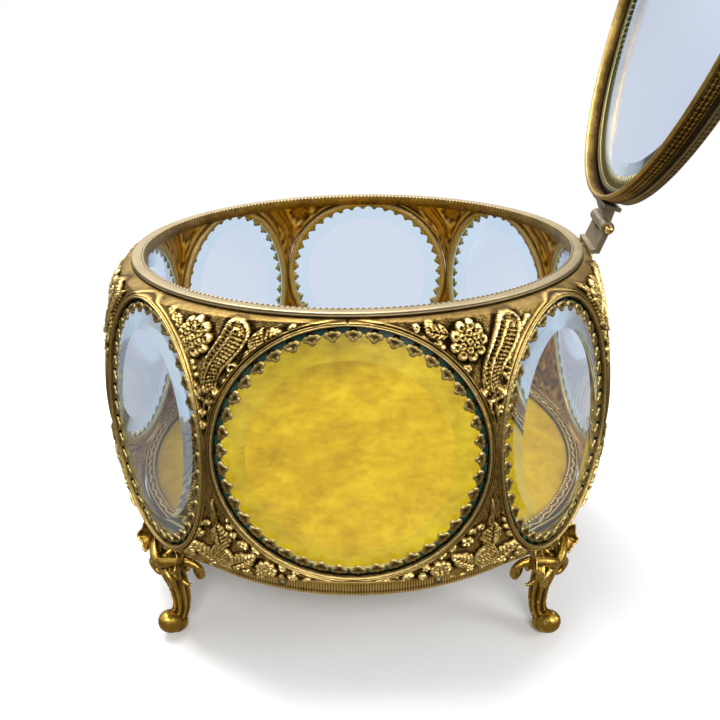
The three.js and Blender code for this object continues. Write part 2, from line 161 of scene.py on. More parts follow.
def add_world():
    """White to the camera, pale sky through glass, and a patchy studio for reflections."""
    world = bpy.data.worlds.new("studio")
    bpy.context.scene.world = world
    world.use_nodes = True
    nodes = world.node_tree.nodes
    nodes.clear()
    direction = nodes.new("ShaderNodeTexCoord").outputs["Generated"]
    split = new_node(nodes, "SeparateXYZ", {0: direction})
    height = new_node(nodes, "MapRange", {
        "From Min": -1.0, "From Max": 1.0, "Value": split.outputs["Z"],
    })
    ramp = colour_ramp(nodes, height.outputs["Result"], (
        (0.30, (0.15, 0.13, 0.11)),
        (0.50, (0.34, 0.33, 0.32)),
        (0.64, (0.68, 0.69, 0.71)),
        (0.85, (1.45, 1.45, 1.46)),
    ))
    patches = new_node(nodes, "TexNoise", {"Scale": 1.9, "Detail": 1.0, "Vector": direction})
    contrast = colour_ramp(nodes, patches.outputs["Fac"], (
        (0.40, (0.10, 0.10, 0.10)),
        (0.60, (1.9, 1.9, 1.9)),
    ))
    product = nodes.new("ShaderNodeMix")
    product.data_type = "RGBA"
    product.blend_type = "MULTIPLY"
    fill(product, {"Factor": 1.0, "A": ramp, "B": contrast})
    rays = nodes.new("ShaderNodeLightPath")
    seen = new_node(nodes, "Background", {"Color": product.outputs["Result"]}).outputs[0]
    for kind, colour in (
        ("Is Diffuse Ray", WORLD_FILL), ("Is Transmission Ray", SKY_THROUGH_GLASS),
        ("Is Camera Ray", (1.0, 1.0, 1.0)),
    ):
        layer = new_node(nodes, "Background", {"Color": (*colour, 1)})
        seen = mixed_shader(nodes, rays.outputs[kind], seen, layer.outputs[0])
    new_node(nodes, "OutputWorld", {"Surface": seen})


# ------------------------------------------------------------------- materials
def shader(name):
    material = bpy.data.materials.new(name)
    material.use_nodes = True
    nodes = material.node_tree.nodes
    return material, nodes, nodes["Principled BSDF"]


def fill(node, values):
    """Sets a node's own sockets: each takes a plain value or another node's output."""
    for name, value in values.items():
        if isinstance(value, bpy.types.NodeSocket):
            node.id_data.links.new(value, node.inputs[name])
        else:
            node.inputs[name].default_value = value
    return node


def new_node(nodes, kind, values):
    return fill(nodes.new("ShaderNode" + kind), values)


def mixed_shader(nodes, share, first, second):
    return new_node(nodes, "MixShader", {0: share, 1: first, 2: second}).outputs[0]


def colour_ramp(nodes, share, stops):
    ramp = new_node(nodes, "ValToRGB", {"Fac": share})
    elements = ramp.color_ramp.elements
    elements[0].position, elements[0].color = stops[0][0], (*stops[0][1], 1)
    elements[1].position, elements[1].color = stops[-1][0], (*stops[-1][1], 1)
    for position, colour in stops[1:-1]:
        elements.new(position).color = (*colour, 1)
    return ramp.outputs["Color"]


def noise(nodes, scale, detail=4.0, roughness=0.6):
    coordinates = nodes.new("ShaderNodeTexCoord")
    return new_node(nodes, "TexNoise", {
        "Scale": scale, "Detail": detail, "Roughness": roughness,
        "Vector": coordinates.outputs["Object"],
    }).outputs["Fac"]


def arithmetic(nodes, operation, *values):
    node = nodes.new("ShaderNodeMath")
    node.operation = operation
    return fill(node, dict(enumerate(values))).outputs[0]


def add_bump(nodes, surface, height, strength, distance):
    bump = new_node(nodes, "Bump", {"Strength": strength, "Distance": distance, "Height": height})
    fill(surface, {"Normal": bump.outputs["Normal"]})


def shade_painted_brass(name, stops, roughness, grain, has_relief, bump):
    """Gilt brass with painted shade and painted highlight: dark in its hollows, light on its raised
    parts. `has_relief`: the mesh carries its own relief height.
    """
    material, nodes, surface = shader(name)
    if has_relief:
        height = nodes.new("ShaderNodeAttribute")
        height.attribute_name = "relief"
        base = height.outputs["Fac"]
    else:
        # Pointiness paints shade into concave places and highlight onto convex ones.
        geometry = nodes.new("ShaderNodeNewGeometry")
        base = new_node(nodes, "MapRange", {
            "From Min": 0.43, "From Max": 0.58, "Value": geometry.outputs["Pointiness"],
        }).outputs["Result"]
    specks = noise(nodes, 900.0, 3.0, 0.7)
    wear = arithmetic(nodes, "MULTIPLY_ADD", noise(nodes, 90.0), grain, -0.5 * grain)
    dust = arithmetic(nodes, "MULTIPLY_ADD", specks, 0.6 * grain, -0.3 * grain)
    total = arithmetic(nodes, "ADD", arithmetic(nodes, "ADD", base, wear), dust)
    rough = new_node(nodes, "MapRange", {
        "To Min": roughness + 0.22, "To Max": roughness - 0.06, "Value": total,
    })
    # Painted shade and painted highlight: the colour ramp makes low values dark and high values light;
    # wear and specks add random tone.
    fill(surface, {
        "Metallic": 1.0, "Base Color": colour_ramp(nodes, total, stops),
        "Roughness": rough.outputs["Result"],
    })
    add_bump(nodes, surface, specks, bump, 0.4 * MM)
    return material


# Colour ramps from low to high relief value: the dark low end is painted shade in hollows, the light
# high end is painted highlight on raised parts.
CAST_STOPS = (
    (0.10, (0.010, 0.006, 0.002)),
    (0.32, (0.085, 0.049, 0.012)),
    (0.48, (0.330, 0.220, 0.066)),
    (0.66, (0.710, 0.510, 0.160)),
    (0.92, (0.990, 0.800, 0.390)),
)
INNER_STOPS = (
    (0.10, (0.036, 0.014, 0.002)),
    (0.36, (0.190, 0.092, 0.014)),
    (0.58, (0.500, 0.310, 0.070)),
    (0.92, (0.880, 0.640, 0.230)),
)
WORN_STOPS = (
    (0.05, (0.040, 0.026, 0.012)),
    (0.35, (0.240, 0.188, 0.106)),
    (0.65, (0.430, 0.355, 0.215)),
    (0.95, (0.640, 0.555, 0.380)),
)
BRIGHT_STOPS = (
    (0.05, (0.010, 0.005, 0.001)),
    (0.32, (0.090, 0.046, 0.006)),
    (0.56, (0.400, 0.250, 0.045)),
    (0.95, (0.860, 0.650, 0.220)),
)
PRONG_STOPS = (
    (0.05, (0.014, 0.010, 0.005)),
    (0.38, (0.080, 0.052, 0.015)),
    (0.60, (0.230, 0.160, 0.050)),
    (0.95, (0.600, 0.450, 0.180)),
)
OLIVE_STOPS = (
    (0.05, (0.006, 0.006, 0.003)),
    (0.38, (0.028, 0.028, 0.013)),
    (0.60, (0.080, 0.075, 0.034)),
    (0.95, (0.240, 0.215, 0.100)),
)
CAST = shade_painted_brass("cast_gilt", CAST_STOPS, 0.38, 0.36, True, 0.50)
INNER = shade_painted_brass("inside_gilt", INNER_STOPS, 0.38, 0.30, True, 0.25)
WORN = shade_painted_brass("worn_rim", WORN_STOPS, 0.42, 0.30, True, 0.30)
BRIGHT = shade_painted_brass("bright_gilt", BRIGHT_STOPS, 0.22, 0.42, False, 0.35)
OLIVE = shade_painted_brass("strip_gilt", OLIVE_STOPS, 0.46, 0.40, False, 0.60)
PRONG = shade_painted_brass("prong_gilt", PRONG_STOPS, 0.46, 0.50, False, 0.80)


def clear_glass(name, colour):
    material, _, surface = shader(name)
    fill(surface, {
        "Base Color": (*colour, 1), "Roughness": 0.015, "IOR": 1.45, "Transmission Weight": 1.0,
    })
    return material


def ground_edge():
    """A pane's ground edge: dark green outside, and from within the glass a pale painted glow that
    stands in for the light the glass carries to it.
    """
    material, nodes, surface = shader("glass_edge")
    stops = ((0.3, (0.004, 0.020, 0.015)), (0.7, (0.020, 0.080, 0.055)))
    fill(surface, {
        "Base Color": colour_ramp(nodes, noise(nodes, 220.0), stops), "Roughness": 0.18,
    })
    # Painted glow: seen from within the glass, the edge emits pale light.
    painted_glow = new_node(nodes, "Emission", {"Color": (0.45, 0.74, 0.74, 1), "Strength": 0.62})
    behind = nodes.new("ShaderNodeNewGeometry").outputs["Backfacing"]
    seen = mixed_shader(nodes, behind, surface.outputs[0], painted_glow.outputs[0])
    fill(nodes["Material Output"], {"Surface": seen})
    return material


def velvet():
    material, nodes, surface = shader("golden_velvet")
    clouds, fibres = noise(nodes, 105.0, 7.0, 0.72), noise(nodes, 1500.0, 3.0, 0.8)
    mixed = arithmetic(nodes, "MULTIPLY_ADD", fibres, 0.45, clouds)
    stops = (
        (0.50, (0.270, 0.155, 0.000)),
        (0.68, (0.400, 0.248, 0.000)),
        (0.86, (0.520, 0.350, 0.004)),
    )
    fill(surface, {
        "Base Color": colour_ramp(nodes, mixed, stops), "Roughness": 0.9,
        "Specular IOR Level": 0.05, "Sheen Weight": 0.12, "Sheen Roughness": 0.4,
        "Sheen Tint": (1.0, 0.72, 0.06, 1),
    })
    add_bump(nodes, surface, mixed, 0.5, 0.6 * MM)
    return material


GLASS = clear_glass("clear_glass", (0.975, 0.988, 0.992))
BEVEL = clear_glass("bevel_glass", (0.80, 0.945, 0.95))
EDGE = ground_edge()
VELVET = velvet()


# ---------------------------------------------------------------- mesh helpers
def smoothstep(value, low, high):
    share = np.clip((value - low) / (high - low), 0.0, 1.0)
    return share * share * (3.0 - 2.0 * share)


def signed_volume(points, faces):
    total = 0.0
    for block in faces:
        for k in range(1, block.shape[1] - 1):
            a, b, c = points[block[:, 0]], points[block[:, k]], points[block[:, k + 1]]
            total += float(np.einsum("ij,ij->", a, np.cross(b, c)))
    return total


def make_piece(name, points, faces, materials, body, stands_for, relief=None, slots=None):
    """A mesh object from points in millimetres and blocks of same-sided faces."""
    points = np.asarray(points, float)
    faces = [np.asarray(block, int) for block in faces]
    if signed_volume(points, faces) < 0:
        faces = [block[:, ::-1] for block in faces]
    mesh = bpy.data.meshes.new(name)
    mesh.vertices.add(len(points))
    mesh.vertices.foreach_set("co", (points * MM).ravel())
    sizes = np.concatenate([np.full(len(block), block.shape[1]) for block in faces])
    mesh.loops.add(int(sizes.sum()))
    mesh.loops.foreach_set("vertex_index", np.concatenate([block.ravel() for block in faces]))
    mesh.polygons.add(len(sizes))
    mesh.polygons.foreach_set("loop_start", np.concatenate([[0], np.cumsum(sizes)[:-1]]))
    mesh.polygons.foreach_set("loop_total", sizes)
    mesh.polygons.foreach_set("use_smooth", np.ones(len(sizes), bool))
    if slots is not None:
        mesh.polygons.foreach_set("material_index", slots)
    mesh.update(calc_edges=True)
    if relief is not None:
        layer = mesh.attributes.new("relief", "FLOAT", "POINT")
        layer.data.foreach_set("value", np.asarray(relief, np.float32).ravel())
    for material in materials:
        mesh.materials.append(material)
    piece = bpy.data.objects.new(name, mesh)
    bpy.context.collection.objects.link(piece)
    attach(piece, body)
    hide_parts(*stands_for)
    return piece


def full_turn(count):
    return np.arange(count) / count * 2.0 * math.pi


def grid_faces(rows, columns, wrap_rows=False, wrap_columns=False):
    index = np.arange(rows * columns).reshape(rows, columns)
    if wrap_rows:
        index = np.vstack([index, index[:1]])
    if wrap_columns:
        index = np.hstack([index, index[:, :1]])
    a, b, c, d = index[:-1, :-1], index[:-1, 1:], index[1:, 1:], index[1:, :-1]
    return np.stack([a.ravel(), b.ravel(), c.ravel(), d.ravel()], axis=1)


def capped_rings(rings, start=None, end=None):
    """A closed solid from a row of rings. Each end closes flat, or to a point if one is given."""
    rows, count = len(rings), len(rings[0])
    points = [np.asarray(ring, float) for ring in rings]
    faces = [grid_faces(rows, count, wrap_columns=True)]
    first, last = np.arange(count)[::-1], (rows - 1) * count + np.arange(count)
    for loop, pole in ((first, start), (last, end)):
        if pole is None:
            faces.append(loop[None, :])
            continue
        points.append(np.asarray(pole, float)[None, :])
        hub = np.full(count, sum(map(len, points)) - 1)
        faces.append(np.stack([loop, np.roll(loop, -1), hub], axis=1))
    return np.vstack(points), faces


def joined(parts):
    """One set of points and face blocks from several (points, faces)."""
    points, faces, start = [], [], 0
    for part_points, part_faces in parts:
        points.append(part_points)
        faces += [np.asarray(block) + start for block in part_faces]
        start += len(part_points)
    return np.vstack(points), faces


def hollow_blur(values, size):
    """Box blur of a grid along both of its directions, with its edges repeated."""
    for axis in (0, 1):
        padding = [(size, size) if k == axis else (0, 0) for k in (0, 1)]
        wide = np.pad(values, padding, mode="edge")
        total = np.cumsum(wide, axis=axis)
        total = np.insert(total, 0, 0.0, axis=axis)
        span = 2 * size + 1
        upper = np.take(total, range(span, total.shape[axis]), axis=axis)
        lower = np.take(total, range(0, total.shape[axis] - span), axis=axis)
        values = (upper - lower) / span
    return values


def carved(heights, size=5, gain=0.55, middle=0.5):
    """How far each point of a height grid stands above its surroundings, from 0 to 1."""
    return np.clip(middle + gain * (heights - hollow_blur(heights, size)), 0.02, 0.98)


# ------------------------------------------------------------- window geometry
def window_axes(side):
    turn, lean = math.radians(side["azimuth"]), math.radians(side["window"]["lean"])
    outward = np.array([math.sin(turn), -math.cos(turn), 0.0])
    vertical = np.array([0.0, 0.0, 1.0])
    along = np.array([math.cos(turn), math.sin(turn), 0.0])
    up = vertical * math.cos(lean) - outward * math.sin(lean)
    normal = outward * math.cos(lean) + vertical * math.sin(lean)
    centre = outward * side["window"]["distance"] + vertical * side["window"]["height"]
    return centre, along, up, normal


def on_window(side, x, y, z):
    centre, along, up, normal = window_axes(side)
    x, y, z = np.broadcast_arrays(x, y, z)
    return centre + x[..., None] * along + y[..., None] * up + z[..., None] * normal


def off_window(side, points):
    """In-plane distance of points outside the window's edge."""
    centre, along, up, _ = window_axes(side)
    rel = points - centre
    x, y = rel @ along, rel @ up
    half_x, half_y = side["window"]["half"]
    size = np.sqrt((x / half_x) ** 2 + (y / half_y) ** 2)
    slope = np.sqrt((x / half_x**2) ** 2 + (y / half_y**2) ** 2) / size
    return (size - 1.0) / slope


def ellipse(half, angle, offset):
    """Points at `offset` outside an ellipse, and the outward normals there."""
    normal = np.stack([np.cos(angle) / half[0], np.sin(angle) / half[1]], axis=-1)
    normal /= np.linalg.norm(normal, axis=-1, keepdims=True)
    edge = np.stack([half[0] * np.cos(angle), half[1] * np.sin(angle)], axis=-1)
    return edge + np.asarray(offset)[..., None] * normal, normal


def even_angles(half, count):
    """Angles of points spaced evenly along an ellipse's edge."""
    fine = np.linspace(0.0, 2.0 * math.pi, 1441)
    edge, _ = ellipse(half, fine, np.zeros_like(fine))
    length = np.concatenate([[0.0], np.cumsum(np.linalg.norm(np.diff(edge, axis=0), axis=1))])
    return np.interp(np.arange(count) / count * length[-1], length, fine), length[-1]


# --------------------------------------------------------- relief on the castings
def dome(distance, radius):
    return np.sqrt(np.clip(1.0 - (distance / radius) ** 2, 0.0, 1.0))


def along_path(x, y, path, widths):
    """Nearest stretch of a path: (length along it, signed share of its half width)."""
    path = np.asarray(path, float)
    lengths = np.concatenate([[0.0], np.cumsum(np.linalg.norm(np.diff(path, axis=0), axis=1))])
    best = np.full(x.shape, 1e9)
    where, share = np.zeros(x.shape), np.full(x.shape, 9.0)
    for i in range(len(path) - 1):
        step = path[i + 1] - path[i]
        size = np.linalg.norm(step)
        unit = step / size
        rel_x, rel_y = x - path[i, 0], y - path[i, 1]
        reach = np.clip(rel_x * unit[0] + rel_y * unit[1], 0.0, size)
        off_x, off_y = rel_x - reach * unit[0], rel_y - reach * unit[1]
        gap = np.hypot(off_x, off_y)
        side = np.sign(off_y * unit[0] - off_x * unit[1])
        width = widths[i] + (widths[i + 1] - widths[i]) * reach / size
        closer = gap < best
        best = np.where(closer, gap, best)
        where = np.where(closer, lengths[i] + reach, where)
        share = np.where(closer, side * gap / width, share)
    return where, share, lengths[-1]


def curve_points(points, count=14):
    """A smooth curve through three or four control points (a Bezier)."""
    share = np.linspace(0.0, 1.0, count)[:, None]
    layers = [np.repeat(np.asarray(point, float)[None], count, axis=0) for point in points]
    while len(layers) > 1:
        layers = [a * (1 - share) + b * share for a, b in zip(layers[:-1], layers[1:])]
    return layers[0]


def from_root(x, y, root, angle):
    """Distance along and across a direction from a root."""
    turn = math.radians(angle)
    rel_x, rel_y = x - root[0], y - root[1]
    along = rel_x * math.cos(turn) + rel_y * math.sin(turn)
    return along, -rel_x * math.sin(turn) + rel_y * math.cos(turn)


def round_middle(x, y, middle):
    rel_x, rel_y = x - middle[0], y - middle[1]
    return np.hypot(rel_x, rel_y), np.arctan2(rel_y, rel_x)


def leaf(x, y, root, angle, length, width, height):
    p, q = from_root(x, y, root, angle)
    share = np.clip(p / length, 0.0, 1.0)
    lobes = 1.0 + 0.16 * np.abs(np.sin(share * math.pi * 4.0))
    half = width * np.sin(math.pi * share**0.8) ** 0.75 * lobes + 1e-3
    inside = (p > 0) & (p < length) & (np.abs(q) < half)
    body = np.clip(1.0 - (q / half) ** 2, 0.0, 1.0) ** 0.5
    vein = 0.45 * np.exp(-((q / 0.22) ** 2))
    ribs = 0.16 * np.cos((p - 0.8 * np.abs(q)) * 2.0 * math.pi / 1.15)
    return np.where(inside, height * (body * (0.85 + ribs) - vein * body), 0.0)


def flower(x, y, middle, radius, petals, height):
    reach, angle = round_middle(x, y, middle)
    edge = radius * (0.72 + 0.28 * np.abs(np.cos(angle * petals / 2.0)))
    petal = dome(reach - 0.55 * edge, 0.5 * edge) * (0.55 + 0.45 * np.abs(np.cos(angle * petals / 2)))
    heart = 1.1 * dome(reach, 0.28 * radius)
    return height * np.maximum(petal * (reach < edge), heart)


def stem(x, y, controls, widths, height):
    path = curve_points(controls)
    half = np.linspace(widths[0], widths[1], len(path))
    _, share, _ = along_path(x, y, path, half)
    return height * np.sqrt(np.clip(1.0 - share**2, 0.0, 1.0))


def curl(x, y, middle, radius, start, turns, width, height):
    """A spiral volute that winds in to its middle."""
    share = np.linspace(0.0, 1.0, 26)
    angle = math.radians(start) + share * turns * 2.0 * math.pi
    reach = radius * (1.0 - 0.85 * share)
    path = np.stack([middle[0] + reach * np.cos(angle), middle[1] + reach * np.sin(angle)], axis=1)
    _, offset, _ = along_path(x, y, path, np.linspace(width, 0.5 * width, len(path)))
    return height * np.sqrt(np.clip(1.0 - offset**2, 0.0, 1.0))


def horn(x, y):
    """The ribbed horn of plenty that leans across each upper corner."""
    path = curve_points(((0.1, 53.0), (-0.4, 58.6), (3.4, 60.6), (5.9, 65.4)), 22)
    half = np.linspace(1.9, 3.1, len(path))
    length, share, _ = along_path(x, y, path, half)
    inside = np.abs(share) < 1.0
    body = np.sqrt(np.clip(1.0 - (0.9 * share) ** 2, 0.0, 1.0))
    fine = np.cos((length + 0.9 * share) * 2.0 * math.pi / 0.92)
    right = smoothstep(0.20 - share, 0.02, 0.12) * smoothstep(share, -0.80, -0.70)
    left = smoothstep(share, 0.34, 0.42) * (1.0 - smoothstep(share, 0.70, 0.78))
    ribs = 0.20 * fine * (right + left)
    rows = 0.07 * np.cos(share * 22.0) * right
    spine = 0.55 * np.exp(-(((share - 0.27) / 0.09) ** 2))
    lip = 0.75 * np.exp(-(((np.abs(share) - 0.88) / 0.12) ** 2)) * smoothstep(length, 2.0, 6.0)
    return np.where(inside, 1.15 * body + ribs + rows + spine + lip, 0.0)


def shell_fan(x, y, middle, radius, facing, height):
    reach, angle = round_middle(x, y, middle)
    turn = np.angle(np.exp(1j * (angle - math.radians(facing))))
    inside = (np.abs(turn) < 1.15) & (reach < radius)
    flute = 0.7 + 0.3 * np.cos(turn * 9.0)
    swell = np.sqrt(np.clip(1.0 - (reach / radius - 0.4) ** 2 / 0.38, 0.0, 1.0))
    edge = 0.45 * np.exp(-(((reach - 0.9 * radius) / 0.35) ** 2))
    return np.where(inside, height * flute * swell + edge, 0.0)


def pebbles(x, y, size, height):
    """Fine stippled ground, the same everywhere it is asked for."""
    return height * (
        np.sin(x * 5.1 / size + 1.7 * np.sin(y * 3.3 / size))
        * np.sin(y * 4.7 / size + 1.3 * np.sin(x * 2.9 / size))
    )


def rosette(x, y, middle, radius, height):
    """A round head of curled petals in two rings, with a cup beneath them."""
    rel_x, rel_y = x - middle[0], y - middle[1]
    reach = np.hypot(rel_x, rel_y)
    found = [0.45 * height * dome(reach, radius * 1.04)]
    for count, ring, size, lift in ((9, 0.76, 0.30, 0.85), (6, 0.42, 0.26, 1.05), (1, 0.0, 0.24, 1.2)):
        for i in range(count):
            angle = 2.0 * math.pi * (i + 0.5 * (count == 6)) / count
            spot_x, spot_y = ring * radius * math.cos(angle), ring * radius * math.sin(angle)
            near = np.hypot(rel_x - spot_x, rel_y - spot_y)
            petal = dome(near, size * radius) - 0.45 * dome(near, 0.42 * size * radius)
            found.append(height * (0.35 * (near < size * radius) + lift * petal))
    return np.maximum.reduce(found)


def hatched_leaf(x, y, root, angle, length, width, height):
    """A broad pointed leaf with crossed fine hatching and a smooth edge."""
    p, q = from_root(x, y, root, angle)
    share = np.clip(p / length, 0.0, 1.0)
    half = width * np.sin(math.pi * share**0.7) + 1e-3
    inside = (p > 0) & (p < length) & (np.abs(q) < half)
    body = 0.55 + 0.45 * np.sqrt(np.clip(1.0 - (q / half) ** 2, 0.0, 1.0))
    hatch = 0.11 * (np.cos((p + q) * 7.0) + np.cos((p - q) * 7.0)) * (np.abs(q) < 0.78 * half)
    edge = 0.35 * np.exp(-(((np.abs(q) / half - 0.9) / 0.1) ** 2))
    return np.where(inside, height * (body + hatch + edge), 0.0)


def scattered_sprigs(x, y, low, high, taken):
    """Small curls, leaves and buds in whatever room the larger ornaments leave."""
    total = np.zeros(x.shape)
    spots = list(taken)
    for i in range(1500):
        spot = (
            REACH_ACROSS * (2.0 * ((i * 0.618034) % 1.0) - 1.0),
            low + (high - low) * ((i * 0.754878) % 1.0),
        )
        size = (1.35 if i < 500 else 0.85) + 0.35 * ((i * 0.3819) % 1.0)
        if any(math.hypot(spot[0] - s[0], spot[1] - s[1]) < size + s[2] for s in spots):
            continue
        spots.append((*spot, 0.92 * size))
        turn = (i * 137.5) % 360.0
        near = (np.abs(x - spot[0]) < 2.2 * size) & (np.abs(y - spot[1]) < 2.2 * size)
        near_x, near_y = x[near], y[near]
        if i % 3 == 0:
            here = curl(near_x, near_y, spot, 0.72 * size, turn, 1.25, 0.30 * size, 1.15)
        elif i % 3 == 1:
            root = (
                spot[0] - size * math.cos(math.radians(turn)),
                spot[1] - size * math.sin(math.radians(turn)),
            )
            here = leaf(near_x, near_y, root, turn, 2.1 * size, 0.66 * size, 1.15)
        else:
            here = flower(near_x, near_y, spot, 0.98 * size, 5, 1.1)
        total[near] = np.maximum(total[near], here)
    return total


REACH_ACROSS = 30.0
# The room that the larger ornaments take: (across, height, radius).
UPPER_TAKEN = (
    (0.0, 52.0, 2.6), (0.0, 56.0, 2.4), (1.4, 60.0, 3.4), (4.6, 63.6, 3.8), (5.9, 65.6, 3.2),
    (-4.2, 63.6, 4.4), (11.6, 64.4, 2.8), (14.4, 66.2, 2.4), (6.9, 57.6, 1.8),
)
LOWER_TAKEN = (
    (0.0, 9.0, 3.6), (0.0, 15.0, 3.2), (5.6, 9.0, 3.0), (-5.6, 9.0, 3.0), (10.5, 7.0, 2.6),
    (-10.5, 7.0, 2.6), (0.0, 21.0, 2.2),
)


def upper_relief(x, y):
    found = [
        horn(x, y),
        shell_fan(x, y, (0.1, 54.2), 4.6, 270, 1.1),
        rosette(x, y, (-4.3, 63.5), 4.1, 1.45),
        hatched_leaf(x, y, (9.6, 61.6), 66, 5.6, 1.7, 1.1),
        leaf(x, y, (11.6, 63.8), 28, 5.4, 1.7, 1.35),
        leaf(x, y, (13.6, 65.2), 352, 4.8, 1.2, 1.1),
        leaf(x, y, (-8.6, 65.0), 166, 5.6, 1.5, 1.2),
        stem(x, y, ((8.6, 61.4), (7.8, 58.4), (5.0, 56.6)), (0.75, 0.45), 1.0),
        curl(x, y, (5.2, 57.9), 1.6, 250, 1.3, 0.45, 1.1),
        stem(x, y, ((-0.9, 46.6), (-0.7, 48.6), (-0.3, 50.4)), (0.30, 0.55), 0.9),
        stem(x, y, ((0.9, 46.6), (0.8, 48.6), (0.4, 50.4)), (0.30, 0.55), 0.9),
        scattered_sprigs(x, y, 44.0, 67.2, UPPER_TAKEN),
    ]
    return np.maximum.reduce(found)


def lower_relief(x, y):
    found = [
        hatched_leaf(x, y, (0.0, 5.2), 90, 8.4, 3.1, 1.2),
        leaf(x, y, (0.6, 11.6), 90, 8.0, 2.3, 1.4),
        leaf(x, y, (2.6, 6.4), 38, 7.4, 2.2, 1.3),
        leaf(x, y, (-2.6, 6.4), 142, 7.4, 2.2, 1.3),
        rosette(x, y, (10.6, 7.0), 2.5, 1.1),
        rosette(x, y, (-10.6, 7.0), 2.5, 1.1),
        stem(x, y, ((0.0, 19.0), (0.2, 22.0), (0.0, 26.0)), (0.9, 0.3), 1.0),
        scattered_sprigs(x, y, 1.5, 22.0, LOWER_TAKEN),
    ]
    return np.maximum.reduce(found)


# -------------------------------------------------------------- corner castings
CORNER_ROWS = 290
CORNER_COLUMNS = 148
EDGE_ROWS = 7


def to_cylinder(points):
    return (
        np.arctan2(points[..., 0], -points[..., 1]),
        np.hypot(points[..., 0], points[..., 1]),
        points[..., 2],
    )


def from_cylinder(azimuth, radius, height):
    azimuth, radius, height = np.broadcast_arrays(azimuth, radius, height)
    return np.stack([radius * np.sin(azimuth), -radius * np.cos(azimuth), height], axis=-1)


def corner_sheet(left, right):
    """Points of the plain casting, rows from its foot to the rim, and its normals."""
    share = np.linspace(0.0, 1.0, CORNER_COLUMNS)
    angle = np.linspace(-math.pi / 2, math.pi / 2, CORNER_ROWS)
    half_l, half_r = left["window"]["half"], right["window"]["half"]
    start = on_window(left, GAP + half_l[0] * np.cos(angle), half_l[1] * np.sin(angle), 0.0)
    end = on_window(right, -GAP - half_r[0] * np.cos(angle), half_r[1] * np.sin(angle), 0.0)
    azimuth_l, radius_l, height_l = to_cylinder(start)
    azimuth_r, radius_r, height_r = to_cylinder(end)
    turn = np.mod(azimuth_r - azimuth_l, 2.0 * math.pi)

    def between(low, high):
        return low[:, None] * (1.0 - share) + high[:, None] * share

    middle = from_cylinder(
        azimuth_l[:, None] + turn[:, None] * share,
        between(radius_l, radius_r),
        between(height_l, height_r),
    )
    first = math.radians(left["azimuth"]) + GAP / BASE_OUTER
    sweep = math.radians(45.0) - 2.0 * GAP / BASE_OUTER
    to_oval = 1.0 - share if left["window"] is OVAL else share
    foot_radius = 69.6 + 3.9 * smoothstep(to_oval, 0.3, 0.95)
    foot_height = BASE_TOP + 0.5 - (BASE_TOP + 0.4) * smoothstep(to_oval, 0.75, 1.0)
    foot = from_cylinder(first + sweep * share, foot_radius, foot_height)
    rim = from_cylinder(first + sweep * share, RIM_OUTER + 0.5, RIM_TOP - 1.3)
    steps = np.linspace(0.0, 1.0, EDGE_ROWS, endpoint=False)[:, None, None]
    lower = foot + (middle[0] - foot) * steps
    bow = np.sin(math.pi * steps) * 0.5
    upper = rim + (middle[-1] - rim) * steps
    outward = upper / np.linalg.norm(upper[..., :2], axis=-1, keepdims=True)
    outward[..., 2] = 0.0
    upper = (upper + bow * outward)[::-1]
    sheet = np.concatenate([lower, middle, upper], axis=0)
    normals = np.stack([window_axes(left)[3], window_axes(right)[3]])
    leaning = normals[0] * (1.0 - share[:, None]) + normals[1] * share[:, None]
    leaning /= np.linalg.norm(leaning, axis=1, keepdims=True)
    return sheet, np.broadcast_to(leaning, sheet.shape)


def ring_height(gap):
    """Two fine mouldings that frame every window."""
    inner = 0.55 * np.exp(-(((gap - 0.22) / 0.20) ** 2))
    outer = 0.45 * np.exp(-(((gap - 0.85) / 0.18) ** 2))
    return inner + outer


def oval_beads(oval, facing, post, across, height):
    """A row of fine beads beside the upper shoulder of the oval window's frame."""
    angle = np.radians(np.linspace(36.0, 58.0, 9))
    edge, _ = ellipse(oval["window"]["half"], angle, np.full(len(angle), 2.5))
    spots = on_window(oval, facing * edge[:, 0], edge[:, 1], 0.0)
    azimuth, _, level = to_cylinder(spots)
    place = np.angle(np.exp(1j * (azimuth - post))) * BASE_OUTER
    near = [dome(np.hypot(across - a, height - b), 0.58) for a, b in zip(place, level)]
    return 0.75 * np.maximum.reduce(near)


